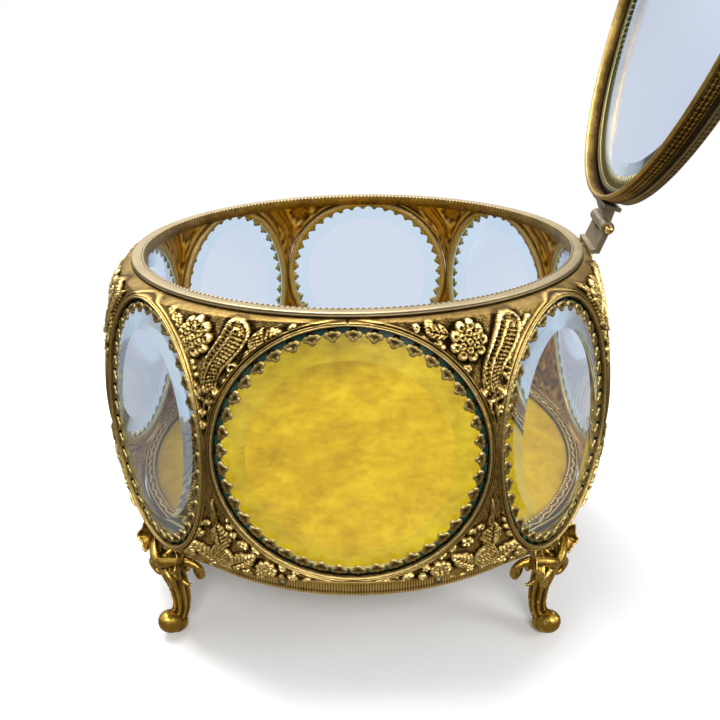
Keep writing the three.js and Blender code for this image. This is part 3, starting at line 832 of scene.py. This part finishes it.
def add_corner(left, right):
    sheet, normals = corner_sheet(left, right)
    oval = left if left["window"] is OVAL else right
    post = math.radians(left["azimuth"] + POST_ANGLE[left["window"]["kind"]])
    azimuth, _, height = to_cylinder(sheet)
    across = np.angle(np.exp(1j * (azimuth - post))) * BASE_OUTER
    gap = np.minimum(off_window(left, sheet), off_window(right, sheet))
    plain_band = 1.3 * smoothstep(height, 54.0, 60.0) * (off_window(oval, sheet) < 4.0)
    clear = smoothstep(gap, 0.9 + plain_band, 1.3 + plain_band)
    upper = upper_relief(across, height) * smoothstep(height, 41.0, 43.0)
    lower = lower_relief(across, height) * (1.0 - smoothstep(height, 24.0, 27.0))
    ground = pebbles(across, height, 0.8, 0.22)
    beads = oval_beads(oval, -1.0 if oval is right else 1.0, post, across, height)
    edge_fade = smoothstep(RIM_TOP - 1.3 - height, 0.1, 0.9)
    edge_fade = edge_fade * (0.25 + 0.75 * smoothstep(height, BASE_TOP + 0.4, BASE_TOP + 2.6))
    heights = ring_height(gap) + clear * edge_fade * (upper + lower + ground)
    heights = np.maximum(heights, beads)
    outer = sheet + normals * heights[..., None]
    # Painted shade and painted highlight: hollows of the front face get a low value (dark colour),
    # raised parts a high one (light colour).
    hollows = carved(heights, 5, 0.95, 0.43)
    # The back follows the front's swellings faintly, as a thin casting's does.
    soft = hollow_blur(heights, 4)
    inside_rings = 0.5 * np.exp(-(((gap - 0.9) / 0.7) ** 2))
    inner_heights = -SHELL + 0.75 * (soft - 0.5) - inside_rings
    inner = sheet + normals * inner_heights[..., None]
    # Painted shade in the hollows of the inside face too.
    inner_hollows = carved(-inner_heights, 6, 1.5, 0.50)
    rows, columns = heights.shape
    front = grid_faces(rows, columns)
    back = grid_faces(rows, columns)[:, ::-1] + rows * columns
    index = np.arange(rows * columns).reshape(rows, columns)
    border = np.concatenate([
        index[0, :-1], index[:-1, -1], index[-1, :0:-1], index[:0:-1, 0],
    ])
    after = np.roll(border, -1)
    rim_faces = np.stack([after, border, border + rows * columns, after + rows * columns], axis=1)
    faces = np.vstack([front, back, rim_faces])
    slots = np.concatenate([
        np.zeros(len(front), int), np.ones(len(back), int), np.zeros(len(rim_faces), int),
    ])
    points = np.concatenate([outer.reshape(-1, 3), inner.reshape(-1, 3)])
    # Lighter towards the bottom of the casting, below 26 mm.
    hollows = hollows + 0.10 * (1.0 - smoothstep(height, 8.0, 26.0))
    relief = np.concatenate([hollows.ravel(), inner_hollows.ravel()])
    name = f"corner_{left['name']}_to_{right['name']}"
    make_piece(
        f"relief_{name}", points, [faces], (CAST, INNER), "box",
        (name,), relief, slots,
    )


# ------------------------------------------------------------- bezels and panes
def prong_shape():
    """A three-lobed bead on a neck: x across, y inwards over the pane, z outwards."""
    lobes = ((-1.14, 1.98, 0.80), (1.14, 1.98, 0.80), (0.0, 2.78, 0.88), (0.0, 2.0, 0.98))
    middle = np.array([0.0, 2.35])
    angle = np.linspace(0.0, 2.0 * math.pi, 30, endpoint=False)
    ray = np.stack([np.sin(angle), np.cos(angle)], axis=1)
    reach = np.zeros(len(angle))
    for lobe_x, lobe_y, radius in lobes:
        offset = np.array([lobe_x, lobe_y]) - middle
        near = ray @ offset
        inside = radius**2 - offset @ offset + near**2
        reach = np.maximum(reach, np.where(inside > 0, near + np.sqrt(np.maximum(inside, 0)), 0))
    rings, levels = (1.0, 1.0, 0.90, 0.66, 0.36, 0.15), (-0.14, 0.12, 0.28, 0.38, 0.27, 0.15)
    head = capped_rings(
        [
            np.column_stack([middle + ray * (reach * share)[:, None], np.full(len(ray), level)])
            for share, level in zip(rings, levels)
        ],
        (*middle, -0.14), (*middle, 0.12),
    )
    side_x, side_y = np.array([1.05, 0.72, 0.62, 0.72]), np.array([-0.35, 0.1, 0.8, 1.6])
    outline = np.concatenate([
        np.column_stack([-side_x, side_y]), np.column_stack([side_x, side_y])[::-1],
    ])
    neck = [np.column_stack([outline, np.full(len(outline), level)]) for level in (0.16, -0.12)]
    return joined([head, capped_rings(neck)])


def scattered(shape, places):
    """Copies of a shape, one for each (origin, x axis, y axis, z axis)."""
    points, faces = shape
    parts = []
    for origin, x_axis, y_axis, z_axis in places:
        moved = origin + points @ np.stack([x_axis, y_axis, z_axis])
        parts.append((moved, faces))
    return parts


def swept_ring(half, section, count, place):
    """A ring round an ellipse whose section is closed [offset, height] points."""
    angle, _ = even_angles(half, count)
    section = np.asarray(section, float)
    rings = []
    for offset, height in section:
        edge, _ = ellipse(half, angle, np.full(count, offset))
        rings.append(place(edge[:, 0], edge[:, 1], np.full(count, height)))
    points = np.stack(rings, axis=1).reshape(-1, 3)
    return points, [grid_faces(count, len(section), wrap_rows=True, wrap_columns=True)]


BEZEL_SECTION = (
    (-2.3, -2.12), (-2.3, -2.4), (-1.2, -2.7), (-0.06, -2.7), (-0.06, 0.52), (-0.20, 0.66),
    (-0.44, 0.60), (-0.60, 0.2), (-0.72, -0.2), (-0.72, -0.5), (-0.62, -0.6), (-0.62, -2.12),
)
# The outside face of a pane: [offset from the hole's edge, height], ground edge first.
PANE_BACK = -2.0
PANE_SECTION = ((-0.95, -0.75), (-2.2, -0.4), (-8.0, 0.42))


def add_bezel(side):
    window = side["window"]
    half = window["half"]
    band = swept_ring(half, BEZEL_SECTION, 160, partial(on_window, side))
    _, length = even_angles(half, 4)
    count = int(round(length / PRONG_PITCH))
    angles, _ = even_angles(half, count)
    edge, normal = ellipse(half, angles, np.full(count, -0.35))
    lift = -0.42
    centre, along, up, out = window_axes(side)
    dip = math.radians(9.0)
    places = []
    for (x, y), (n_x, n_y) in zip(edge, normal):
        inward = -(n_x * along + n_y * up)
        y_axis = inward * math.cos(dip) + out * math.sin(dip)
        z_axis = out * math.cos(dip) - inward * math.sin(dip)
        x_axis = np.cross(y_axis, z_axis)
        places.append((centre + x * along + y * up + lift * out, x_axis, y_axis, z_axis))
    points, faces = joined([band] + scattered(prong_shape(), places))
    name = f"{window['kind']}_bezel_{side['name']}"
    make_piece(f"prongs_{name}", points, faces, (PRONG,), "box", (name,))


def pane(half, section, back, place, count=160):
    """A bevelled pane as one closed solid, and the material slot of each face."""
    angle, _ = even_angles(half, count)
    profile = [(section[0][0], back)] + list(section)
    rings = []
    for offset, height in profile:
        edge, _ = ellipse(half, angle, np.full(count, offset))
        rings.append(place(edge[:, 0], edge[:, 1], np.full(count, height)))
    band = np.repeat(np.arange(len(profile) - 1), count)
    slots = np.concatenate([np.where(band < 2, 2, 1), [0, 0]])
    return *capped_rings(rings), slots


def add_flat_pane(name, shape, body, node):
    """The pane piece itself, with sharp lines between its face and its bevel."""
    points, faces, slots = shape
    piece = make_piece(
        name, points, faces, (GLASS, BEVEL, EDGE), body, (node,), None, slots,
    )
    piece.data.polygons.foreach_set("use_smooth", np.zeros(len(piece.data.polygons), bool))


def add_pane(side):
    window = side["window"]
    shape = pane(window["half"], PANE_SECTION, PANE_BACK, partial(on_window, side))
    name = f"{window['kind']}_glass_{side['name']}"
    add_flat_pane(f"pane_{name}", shape, "box", name)


# --------------------------------------------------------------- turned hoops
def turned(section, count, place, ripple=None):
    """A hoop turned about the box's axis. `ripple(turn, k)` moves section point k outwards."""
    section = np.asarray(section, float)
    turn = full_turn(count)
    points = np.zeros((count, len(section), 3))
    for k, (radius, height) in enumerate(section):
        reach = np.full(count, radius) + (ripple(turn, k) if ripple else 0.0)
        points[:, k] = place(reach * np.cos(turn), reach * np.sin(turn), np.full(count, height))
    return points.reshape(-1, 3), [grid_faces(count, len(section), True, True)]


def in_box(x, y, z):
    """Points given straight in the box's own axes."""
    return np.stack([x, y, z], axis=-1)


def add_rim():
    top, outer, inner = RIM_TOP, RIM_OUTER, RIM_INNER
    section = [
        (inner + 0.05, top - 3.3), (inner + 0.55, top - 3.3), (inner + 0.65, top - 1.15),
        (outer - 0.5, top - 1.1), (outer - 0.1, top - 0.95), (outer, top - 0.7),
        (outer - 0.12, top - 0.5), (outer - 0.3, top - 0.42), (outer - 0.12, top - 0.25),
        (outer - 0.25, top - 0.04), (outer - 0.5, top), (inner + 0.75, top - 0.02),
        (inner + 0.55, top - 0.16), (inner + 0.30, top + 0.02), (inner + 0.05, top - 0.14),
        (inner, top - 0.5),
    ]
    beaded = {12: 0.3, 13: 0.0, 14: -0.3}
    count = 2320

    def rope(turn, k):
        return np.cos(turn * count / 8.0 + beaded[k] * math.pi)

    def ripple(turn, k):
        return -0.14 * (1.0 + rope(turn, k)) if k in beaded else np.zeros_like(turn)

    points, faces = turned(section, count, in_box, ripple)
    turn = full_turn(count)
    # Painted shade and painted highlight, row by row: dark in the grooves and between the rope beads,
    # light on the rolled edges.
    levels = (0.4, 0.4, 0.3, 0.3, 0.4, 0.62, 0.2, 0.15, 0.6, 0.66, 0.5, 0.46, 0.1, 0.5, 0.4, 0.5)
    relief = np.stack([
        level - 0.32 * rope(turn, k) if k in beaded else np.full(count, level)
        for k, level in enumerate(levels)
    ], axis=1)
    gilt = np.isin(np.arange(len(section)), (14, 15, 0, 1)).astype(int)
    make_piece("flange_rim_ring", points, faces, (WORN, CAST), "box",
               ("rim_ring",), relief.ravel(), np.tile(gilt, count))


def add_base_ring():
    outer, inner = BASE_OUTER + 0.45, BASE_OUTER - 1.5
    levels = np.linspace(BASE_BOTTOM, BASE_TOP + 0.3, 9)
    section = [(inner, BASE_TOP), (inner, BASE_BOTTOM)]
    bulge = (0.0, 0.15, 0.0, -0.16, -0.16, -0.16, -0.1, 0.0, -0.05)
    section += [(outer + b, z) for b, z in zip(bulge, levels)]
    count = 2640

    def ripple(turn, k):
        if k in (2, 3, 4):
            return 0.10 * np.cos(turn * count / 4.0)
        if k in (5, 6, 7):
            return 0.09 * np.cos(turn * count / 4.0)
        return np.zeros_like(turn)

    points, faces = turned(section, count, in_box, ripple)
    turn = full_turn(count)
    # Painted shade between the ribs and painted highlight on their crests.
    rib = 0.62 + 0.24 * np.cos(turn * count / 4.0)
    relief = np.stack([
        np.full(count, 0.4), np.full(count, 0.45), 0.15 + rib, 0.1 + rib, 0.0 + rib * 0.6,
        rib, rib, rib, rib * 0.9, np.full(count, 0.62), np.full(count, 0.45),
    ], axis=1)
    make_piece("ribbed_base_ring", points, faces, (CAST,), "box",
               ("base_ring",), relief.ravel())


def add_rivets():
    """Dark domed heads round the base band, in place of the CAD rivets."""
    names = [name for name in frame["nodes"] if name.startswith("base_rivet_")]
    parts = []
    section = ((0.45, 0.74), (0.85, 0.50), (1.05, 0.12), (1.05, -0.6))
    turn = full_turn(20)
    for name in names:
        low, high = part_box(name)
        middle = np.array((low + high) / 2.0) / MM
        outward = np.array([middle[0], middle[1], 0.0])
        outward /= np.linalg.norm(outward)
        along = np.array([-outward[1], outward[0], 0.0])
        seat = outward * (BASE_OUTER + 0.55) + np.array([0.0, 0.0, middle[2]])
        rings = [
            seat + (r * np.cos(turn))[:, None] * along
            + (r * np.sin(turn))[:, None] * np.array([0.0, 0.0, 1.0]) + h * outward
            for r, h in section
        ]
        parts.append(capped_rings(rings, seat + RIVET_RISE * outward))
    points, faces = joined(parts)
    make_piece("base_rivets", points, faces, (OLIVE,), "box", names)


def add_floor_border():
    inner, outer = PAD_RADIUS + 0.35, 68.0
    count, rings, repeats = 1440, 12, 96
    level, underside = 3.7, 1.35
    radius = np.linspace(inner, outer, rings)[:, None]
    radius, turn = np.broadcast_arrays(radius, full_turn(count)[None, :])
    share = (radius - inner) / (outer - inner)
    phase = turn * repeats / (2.0 * math.pi)
    wave = np.abs(phase - np.round(phase)) * 2.0
    leaves = 0.35 * np.clip(1.0 - np.abs(share - 0.55 - 0.25 * (wave - 0.5)) * 5.0, 0, 1)
    beads = 0.30 * np.clip(np.cos(turn * repeats * 3.0), 0, 1) * np.exp(-((share - 0.1) / 0.08) ** 2)
    line = 0.45 * np.exp(-(((share - 0.93) / 0.06) ** 2))
    top = in_box(radius * np.cos(turn), radius * np.sin(turn), level + leaves + beads + line)
    under = top[::-1].copy()
    under[..., 2] = underside
    points = np.concatenate([top, under[[0, -1]]]).reshape(-1, 3)
    faces = [grid_faces(rings + 2, count, wrap_rows=True, wrap_columns=True)]
    # Painted shade in the border's hollows, painted highlight on its raised leaves, beads and line.
    hollows = carved(np.pad(top[..., 2] - level, ((0, 2), (0, 0))), 2, 1.6, 0.45)
    make_piece("embossed_floor_border", points, faces, (CAST,), "box",
               ("floor_border",), hollows.ravel())


def add_pad():
    rings, count = 60, 240
    radius = PAD_RADIUS * np.sin(np.linspace(0.02, 0.5, rings) * math.pi)
    share = radius / PAD_RADIUS
    turn = full_turn(count)
    edge = PAD_LOW + 1.1
    crown = edge + (PAD_HIGH - edge) * (1.0 - share**14) ** 0.55
    reach, angle = np.meshgrid(radius, turn, indexing="ij")
    x, y = reach * np.cos(angle), reach * np.sin(angle)
    dimples = 0.10 * np.sin(x * 0.16 + 1.1 * np.sin(y * 0.09)) * np.sin(y * 0.19 + 0.7)
    z = crown[:, None] + dimples * (1.0 - share[:, None] ** 4)
    top = in_box(x, y, z)
    low = in_box(0.99 * x[-1], 0.99 * y[-1], np.full(count, PAD_LOW))
    points, faces = capped_rings([*top, low])
    pad = make_piece("velvet_floor_pad", points, faces, (VELVET,), "box", ("floor_pad",))


# ------------------------------------------------------------------------- lid
def lid_place():
    """Turns points drawn on the closed lid's own axes into the open rest pose."""
    radius = math.hypot(PIN[0], PIN[1])
    swing, facing = LID_OPEN, math.atan2(PIN[1], PIN[0])

    def place(x, y, z):
        local_x, local_z = x - radius, z + LID_UNDERSIDE - PIN[2]
        swung_x = local_x * math.cos(swing) + local_z * math.sin(swing)
        swung_z = -local_x * math.sin(swing) + local_z * math.cos(swing)
        out_x = swung_x * math.cos(facing) - y * math.sin(facing)
        out_y = swung_x * math.sin(facing) + y * math.cos(facing)
        return in_box(out_x + PIN[0], out_y + PIN[1], swung_z + PIN[2])

    return place


def embossed(turn, repeats, amplitude, phase):
    wave = np.cos(turn * repeats + phase)
    return amplitude * (wave + 0.4 * np.cos(0.5 * turn * repeats + 1.3))


def lid_band(section, carved_rows, relief_values, node, material):
    """A lid hoop. `carved_rows` gives some section points (repeats round the hoop, phase)."""
    count = 2520

    def ripple(turn, k, amplitude=0.06):
        if k not in carved_rows:
            return np.zeros_like(turn)
        repeats, phase = carved_rows[k]
        return embossed(turn, repeats, amplitude, phase)

    points, faces = turned(section, count, lid_place(), ripple)
    # Painted shade and painted highlight: the embossing is painted lighter on its crests and darker
    # between them.
    relief = np.stack([
        value + ripple(full_turn(count), k, 0.15) for k, value in enumerate(relief_values)
    ], axis=1)
    make_piece(f"embossed_{node}", points, faces, (material,), "lid", (node,), relief.ravel())


def add_lid_frame():
    """The lid's lower skirt, with its lines of embossing."""
    section = [(LID_INNER, level) for level in (4.2, 3.0, 1.6, 0.6)]
    section += [(LID_INNER + 0.12, 0.25), (LID_INNER + 0.40, 0.03)]
    section += [
        (LID_OUTER - inset, level)
        for inset, level in (
            (0.50, 0.0), (0.18, 0.2), (0.05, 0.65), (0.22, 0.85), (0.05, 1.05), (0.25, 1.25),
            (0.12, 1.55), (0.12, 1.95), (0.28, 2.25), (0.14, 2.55), (0.10, 2.9), (0.22, 3.2),
            (0.05, 3.45), (0.2, 3.7), (0.1, 3.95), (1.0, 4.15),
        )
    ]
    rows = {
        10: (630, 0.0), 12: (315, 0.0), 13: (630, 1.9), 15: (315, 0.0), 16: (630, 2.2),
        18: (630, 0.8),
    }
    # Painted shade row by row: darkest in the groove and the skirt's fine grooves, lighter on its
    # ridges.
    relief = (
        0.10, 0.24, 0.40, 0.46, 0.50, 0.54, 0.54, 0.50, 0.58, 0.14, 0.54, 0.12, 0.44, 0.46,
        0.12, 0.46, 0.44, 0.14, 0.56, 0.12, 0.46, 0.0,
    )
    lid_band(section, rows, relief, "lid_frame", CAST)


def add_lid_top_hoop():
    """The upper hoop above the groove, with a lip over the pane."""
    section = [(LID_INNER - 1.0, LID_GROOVE + 0.2)]
    section += [
        (LID_OUTER - inset, LID_GROOVE + rise)
        for inset, rise in (
            (1.1, 0.2), (0.15, 0.45), (0.0, 0.7), (0.2, 1.0), (0.15, 1.5), (0.25, 2.0),
            (0.1, 2.3),
        )
    ]
    section += [(LID_OUTER - 0.5, LID_HEIGHT - 0.1), (LID_OUTER - 1.2, LID_HEIGHT)]
    section += [
        (LID_INNER - inset, LID_HEIGHT - drop)
        for inset, drop in ((1.8, 0.03), (2.6, 0.2), (2.7, 0.6), (1.0, 0.65))
    ]
    rows = {4: (630, 0.0), 5: (315, 1.4), 6: (315, 2.8)}
    # Painted shade row by row: darkest in the groove beneath the hoop and under its lip, lighter on
    # its outer edges.
    relief = (0.1, 0.0, 0.35, 0.62, 0.2, 0.48, 0.25, 0.6, 0.62, 0.66, 0.6, 0.5, 0.3, 0.1)
    lid_band(section, rows, relief, "lid_top_hoop", WORN)


def add_lid_bezel():
    """The narrow strip inside the skirt whose teeth hold the lid's pane."""
    place = lid_place()
    section = (
        (-1.15, 3.95), (-1.15, 3.5), (-1.35, 3.3), (-1.75, 3.3), (-2.0, 3.6), (-2.4, 3.75),
        (-2.4, 3.95),
    )
    strip = swept_ring((LID_INNER, LID_INNER), section, 240, place)
    tooth = np.array([
        (-0.78, 0.0, 0.0), (0.78, 0.0, 0.0), (0.20, 3.5, 0.0), (-0.20, 3.5, 0.0),
        (-0.66, 0.0, 0.32), (0.66, 0.0, 0.32), (0.10, 3.2, 0.26), (-0.10, 3.2, 0.26),
    ])
    tooth_faces = [np.array([
        [0, 3, 2, 1], [4, 5, 6, 7], [0, 1, 5, 4], [1, 2, 6, 5], [2, 3, 7, 6], [3, 0, 4, 7],
    ])]
    parts = [strip]
    teeth, level = 196, 4.15
    for i in range(teeth):
        turn = 2.0 * math.pi * i / teeth
        across = np.array([math.sin(turn), -math.cos(turn)])
        inward = -np.array([math.cos(turn), math.sin(turn)])
        spot = -inward * (LID_INNER - 2.2)
        x = spot[0] + tooth[:, 0] * across[0] + tooth[:, 1] * inward[0]
        y = spot[1] + tooth[:, 0] * across[1] + tooth[:, 1] * inward[1]
        parts.append((place(x, y, level - tooth[:, 2]), tooth_faces))
    points, faces = joined(parts)
    make_piece("serrated_lid_bezel", points, faces, (OLIVE,), "lid",
               ("lid_bezel",))


def add_lid_pane():
    section = ((-1.35, 5.15), (-1.6, 5.3), (-9.3, 6.05))
    shape = pane((LID_INNER, LID_INNER), section, 4.35, lid_place(), 200)
    add_flat_pane("pane_lid_glass", shape, "lid", "lid_glass")


# ------------------------------------------------------------------------ feet
def limb(stops, sides=20, flute=0.0, flutes=8):
    """A limb along a smooth path, closed at both ends, optionally fluted."""
    path, radii = through(stops)
    tangent = np.gradient(path, axis=0)
    tangent /= np.linalg.norm(tangent, axis=1, keepdims=True)
    upright = abs(tangent[:, 1]).max() <= 0.9
    reference = np.array([0.0, 1.0, 0.0] if upright else [1.0, 0.0, 0.0])
    rings = []
    turn = full_turn(sides)
    for centre, along, radius in zip(path, tangent, radii):
        side = reference - along * (reference @ along)
        side /= np.linalg.norm(side)
        up = np.cross(along, side)
        reach = radius * (1.0 + flute * np.cos(flutes * turn))
        rings.append(
            centre + (reach * np.cos(turn))[:, None] * side
            + (reach * np.sin(turn))[:, None] * up
        )
    return capped_rings(rings, path[0], path[-1])


def ball(centre, radii, turns=24, rows=14):
    centre, turn = np.asarray(centre, float), full_turn(turns)
    rings = [
        centre + np.column_stack([
            radii[0] * math.sin(tilt) * np.cos(turn), radii[1] * math.sin(tilt) * np.sin(turn),
            np.full(turns, radii[2] * math.cos(tilt)),
        ])
        for tilt in np.linspace(0.0, math.pi, rows)[1:-1]
    ]
    pole = np.array([0.0, 0.0, radii[2]])
    return capped_rings(rings, centre + pole, centre - pole)


def egg(centre, radii, tilt):
    """A ball whose long axis leans outwards from upright by `tilt` degrees."""
    points, faces = ball((0.0, 0.0, 0.0), radii, 40, 24)
    lean = math.radians(tilt)
    x = points[:, 0] * math.cos(lean) + points[:, 2] * math.sin(lean)
    z = points[:, 2] * math.cos(lean) - points[:, 0] * math.sin(lean)
    return np.column_stack([x, points[:, 1], z]) + np.asarray(centre), faces


def through(stops, count=26):
    """A smooth path through the stops (a Catmull-Rom curve), with the last column as radius."""
    stops = np.asarray(stops, float)
    ends = np.vstack([2 * stops[0] - stops[1], stops, 2 * stops[-1] - stops[-2]])
    share = np.linspace(0.0, len(stops) - 1.0001, count)
    piece = share.astype(int)
    t = (share - piece)[:, None]
    a, b, c, e = (ends[piece + k] for k in range(4))
    path = 0.5 * (
        2 * b + (c - a) * t + (2 * a - 5 * b + 4 * c - e) * t**2
        + (3 * b - a - 3 * c + e) * t**3
    )
    return path[:, :3], np.maximum(path[:, 3], 0.2)


def cupped_leaf(centre, facing, size):
    """A curled leaf with a scalloped edge, hollow towards `facing`."""
    facing = np.asarray(facing, float) / np.linalg.norm(facing)
    side = np.cross(facing, (0.0, 0.0, 1.0))
    side /= np.linalg.norm(side)
    top = np.cross(side, facing)
    turn = full_turn(48)
    outline = size * (1.0 + 0.16 * np.cos(5.0 * turn + 0.6) + 0.10 * np.cos(turn))
    rings = []
    for share, level in (
        (0.05, -0.9), (0.5, -0.72), (0.85, -0.2), (1.0, 0.35), (1.12, 0.30), (1.0, -0.45),
        (0.6, -1.3), (0.05, -1.5),
    ):
        reach = outline * share
        rings.append(
            np.asarray(centre) + (reach * np.cos(turn))[:, None] * side
            + (1.25 * reach * np.sin(turn))[:, None] * top + 0.5 * size * level * facing
        )
    return capped_rings(rings)


def foot_parts():
    """One cabriole foot: x outwards from the axis, y along the wall, z up."""
    parts = [
        limb([
            (66.5, 0, -2.6, 1.4), (69.2, 0, -4.4, 2.3), (71.6, 0, -6.6, 3.1),
            (72.0, 0, -9.6, 3.0), (71.3, 0, -14.0, 2.65), (70.9, 0, -19.0, 2.4),
            (71.2, 0, -23.2, 2.2), (72.4, 0, -26.0, 2.2),
        ], 32, 0.16, 8),
        egg((75.1, 0, -26.6), (3.15, 3.1, 3.95), 38.0),
        ball((73.3, 0, -28.2), (3.0, 2.8, 2.8), 36, 20),
        ball((66.0, 0, -1.6), (4.4, 6.0, 0.7)),
        ball((73.2, 0, -6.0), (1.9, 2.5, 2.4)),
        limb([(73.0, 0, -10.0, 1.3), (72.9, 0, -13.4, 1.0), (72.2, 0, -16.8, 0.35)], 16, 0.2, 3),
    ]
    for side in (-1.0, 1.0):
        parts += [
            # The smooth ribbon over the knee, out to the scroll that hangs at its end.
            limb([
                (75.6, 0, -5.4, 1.3), (75.0, 2.6 * side, -4.0, 1.5), (73.2, 5.4 * side, -3.0, 1.4),
                (71.0, 8.4 * side, -2.8, 1.2), (69.6, 10.8 * side, -4.2, 0.95),
                (69.0, 10.8 * side, -6.8, 0.85), (68.9, 9.2 * side, -8.6, 0.8),
                (68.9, 7.2 * side, -8.0, 0.7), (68.9, 6.9 * side, -6.4, 0.6),
            ], 18),
            ball((68.9, 9.2 * side, -6.6), (0.8, 2.1, 2.3), 28, 16),
            ball((69.6, 9.2 * side, -6.5), (0.5, 0.9, 1.0)),
            # The knee's own pair of volutes.
            limb([
                (75.2, 0.7 * side, -6.6, 0.8), (75.4, 3.4 * side, -6.4, 0.9),
                (75.2, 5.3 * side, -8.6, 0.9), (74.6, 4.3 * side, -11.2, 0.85),
                (74.2, 2.1 * side, -11.0, 0.75), (74.4, 1.7 * side, -9.2, 0.65),
                (74.7, 3.1 * side, -8.5, 0.6),
            ], 16),
            ball((73.6, 3.2 * side, -9.0), (0.9, 1.6, 1.8)),
            cupped_leaf((74.3, 6.9 * side, -1.4), (0.9, -0.30 * side, 0.32), 2.9),
            cupped_leaf((72.8, 4.7 * side, -5.0), (0.8, 0.5 * side, -0.2), 1.8),
            # The little leaf tip that springs from the shank.
            limb([
                (71.6, 1.4 * side, -11.6, 1.0), (70.9, 3.0 * side, -13.0, 0.85),
                (70.2, 4.4 * side, -13.7, 0.55), (69.8, 5.3 * side, -13.2, 0.3),
            ], 14),
            limb([
                (71.9, 1.7 * side, -9.0, 0.7), (71.4, 2.2 * side, -14.0, 0.6),
                (70.8, 1.9 * side, -19.0, 0.5), (71.2, 1.2 * side, -24.4, 0.4),
            ], 12),
        ]
        for petal in range(7):
            angle = 2.0 * math.pi * petal / 6.0
            reach = 1.15 if petal < 6 else 0.0
            parts.append(ball((
                71.1, 6.6 * side + reach * math.cos(angle), -4.9 + reach * math.sin(angle),
            ), (0.75, 0.68, 0.68), 12, 8))
    return parts


def add_feet():
    points, faces = joined(foot_parts())
    for side in SIDES:
        if side["window"] is not OVAL:
            continue
        turn = math.radians(side["azimuth"] - 90.0)
        cos, sin = math.cos(turn), math.sin(turn)
        moved = points.copy()
        moved[:, 0] = points[:, 0] * cos - points[:, 1] * sin
        moved[:, 1] = points[:, 0] * sin + points[:, 1] * cos
        moved[:, 2] = np.maximum(moved[:, 2], TABLE)
        foot = make_piece(f"cast_foot_{side['name']}", moved, faces, (BRIGHT,), "box",
                          (f"foot_{side['name']}",))
        fuse = foot.modifiers.new("fuse", "REMESH")
        fuse.mode = "VOXEL"
        fuse.voxel_size = 0.24 * MM
        fuse.use_smooth_shade = True
        soften = foot.modifiers.new("soften", "SMOOTH")
        soften.iterations = 1


# ----------------------------------------------------------------------- hinge
def finish_cad_nodes():
    """The hinge's own CAD pieces and the floor plate keep their shape."""
    for name, material in (
        ("hinge_leaf_body", WORN_PLAIN), ("hinge_leaf_lid", WORN_PLAIN),
        ("hinge_pin", BRIGHT), ("base_plate", WORN_PLAIN),
    ):
        node = bpy.data.objects[name]
        node.data.materials.clear()
        node.data.materials.append(material)
        edge = node.modifiers.new("soft_edges", "BEVEL")
        edge.width = 0.15 * MM
        edge.segments = 2


DULL_STOPS = tuple((share, tuple(0.62 * c for c in colour)) for share, colour in WORN_STOPS)
WORN_PLAIN = shade_painted_brass("worn_plate", DULL_STOPS, 0.44, 0.40, False, 0.40)


# -------------------------------------------------------------------- the scene
def add_stage():
    """A pale table that fades into the white, and is unseen through glass and from below."""
    mesh = bpy.data.meshes.new("floor")
    size, level = 1.2, (TABLE - 0.05) * MM
    corners = [(-size, -size), (size, -size), (size, size), (-size, size)]
    mesh.from_pydata([(x, y, level) for x, y in corners], [], [(0, 1, 2, 3)])
    floor = bpy.data.objects.new("floor", mesh)
    bpy.context.collection.objects.link(floor)
    material, nodes, surface = shader("floor_white")
    fill(surface, {
        "Base Color": (0.93, 0.93, 0.93, 1), "Roughness": 1.0, "Specular IOR Level": 0.0,
    })
    coordinates = nodes.new("ShaderNodeTexCoord")
    length = nodes.new("ShaderNodeVectorMath")
    length.operation = "LENGTH"
    fill(length, {0: coordinates.outputs["Object"]})
    fade = new_node(nodes, "MapRange", {
        "From Min": 0.10, "From Max": 0.26, "Value": length.outputs["Value"],
    })
    fade.interpolation_type = "SMOOTHSTEP"
    rays = nodes.new("ShaderNodeLightPath")
    beneath = nodes.new("ShaderNodeNewGeometry").outputs["Backfacing"]
    through_glass = rays.outputs["Is Transmission Ray"]
    unseen = arithmetic(nodes, "MAXIMUM", fade.outputs["Result"], through_glass)
    unseen = arithmetic(nodes, "MAXIMUM", unseen, beneath)
    # Reflections see a dim table: a painted reflection, a warm glow seen only by glossy rays, so that
    # the panes stay clear and the castings keep contrast.
    dim = new_node(nodes, "Emission", {"Color": (0.37, 0.31, 0.20, 1)}).outputs[0]
    table = mixed_shader(nodes, rays.outputs["Is Glossy Ray"], surface.outputs[0], dim)
    clear = nodes.new("ShaderNodeBsdfTransparent").outputs[0]
    seen = mixed_shader(nodes, unseen, table, clear)
    fill(nodes["Material Output"], {"Surface": seen})
    floor.data.materials.append(material)


add_camera()
add_world()
add_lamp("key", (-0.20, 0.20, 1.02), (0, 0, 0.03), (0.55, 0.55), 14.5, (1.0, 0.98, 0.95))
add_lamp("front", (0.10, -0.80, 0.70), (0, 0, 0.03), (0.5, 0.3), 5.0, (1.0, 0.99, 0.97))
add_lamp("side", (0.75, -0.25, 0.45), (0, 0, 0.03), (0.3, 0.4), 2.5, (0.95, 0.97, 1.0))
add_stage()
for i, side in enumerate(SIDES):
    add_corner(side, SIDES[(i + 1) % len(SIDES)])
    add_bezel(side)
    add_pane(side)
add_rim()
add_base_ring()
add_rivets()
add_floor_border()
add_pad()
add_feet()
add_lid_frame()
add_lid_top_hoop()
add_lid_bezel()
add_lid_pane()
finish_cad_nodes()
bpy.context.scene.view_settings.view_transform = "Standard"

bpy.context.view_layer.update()
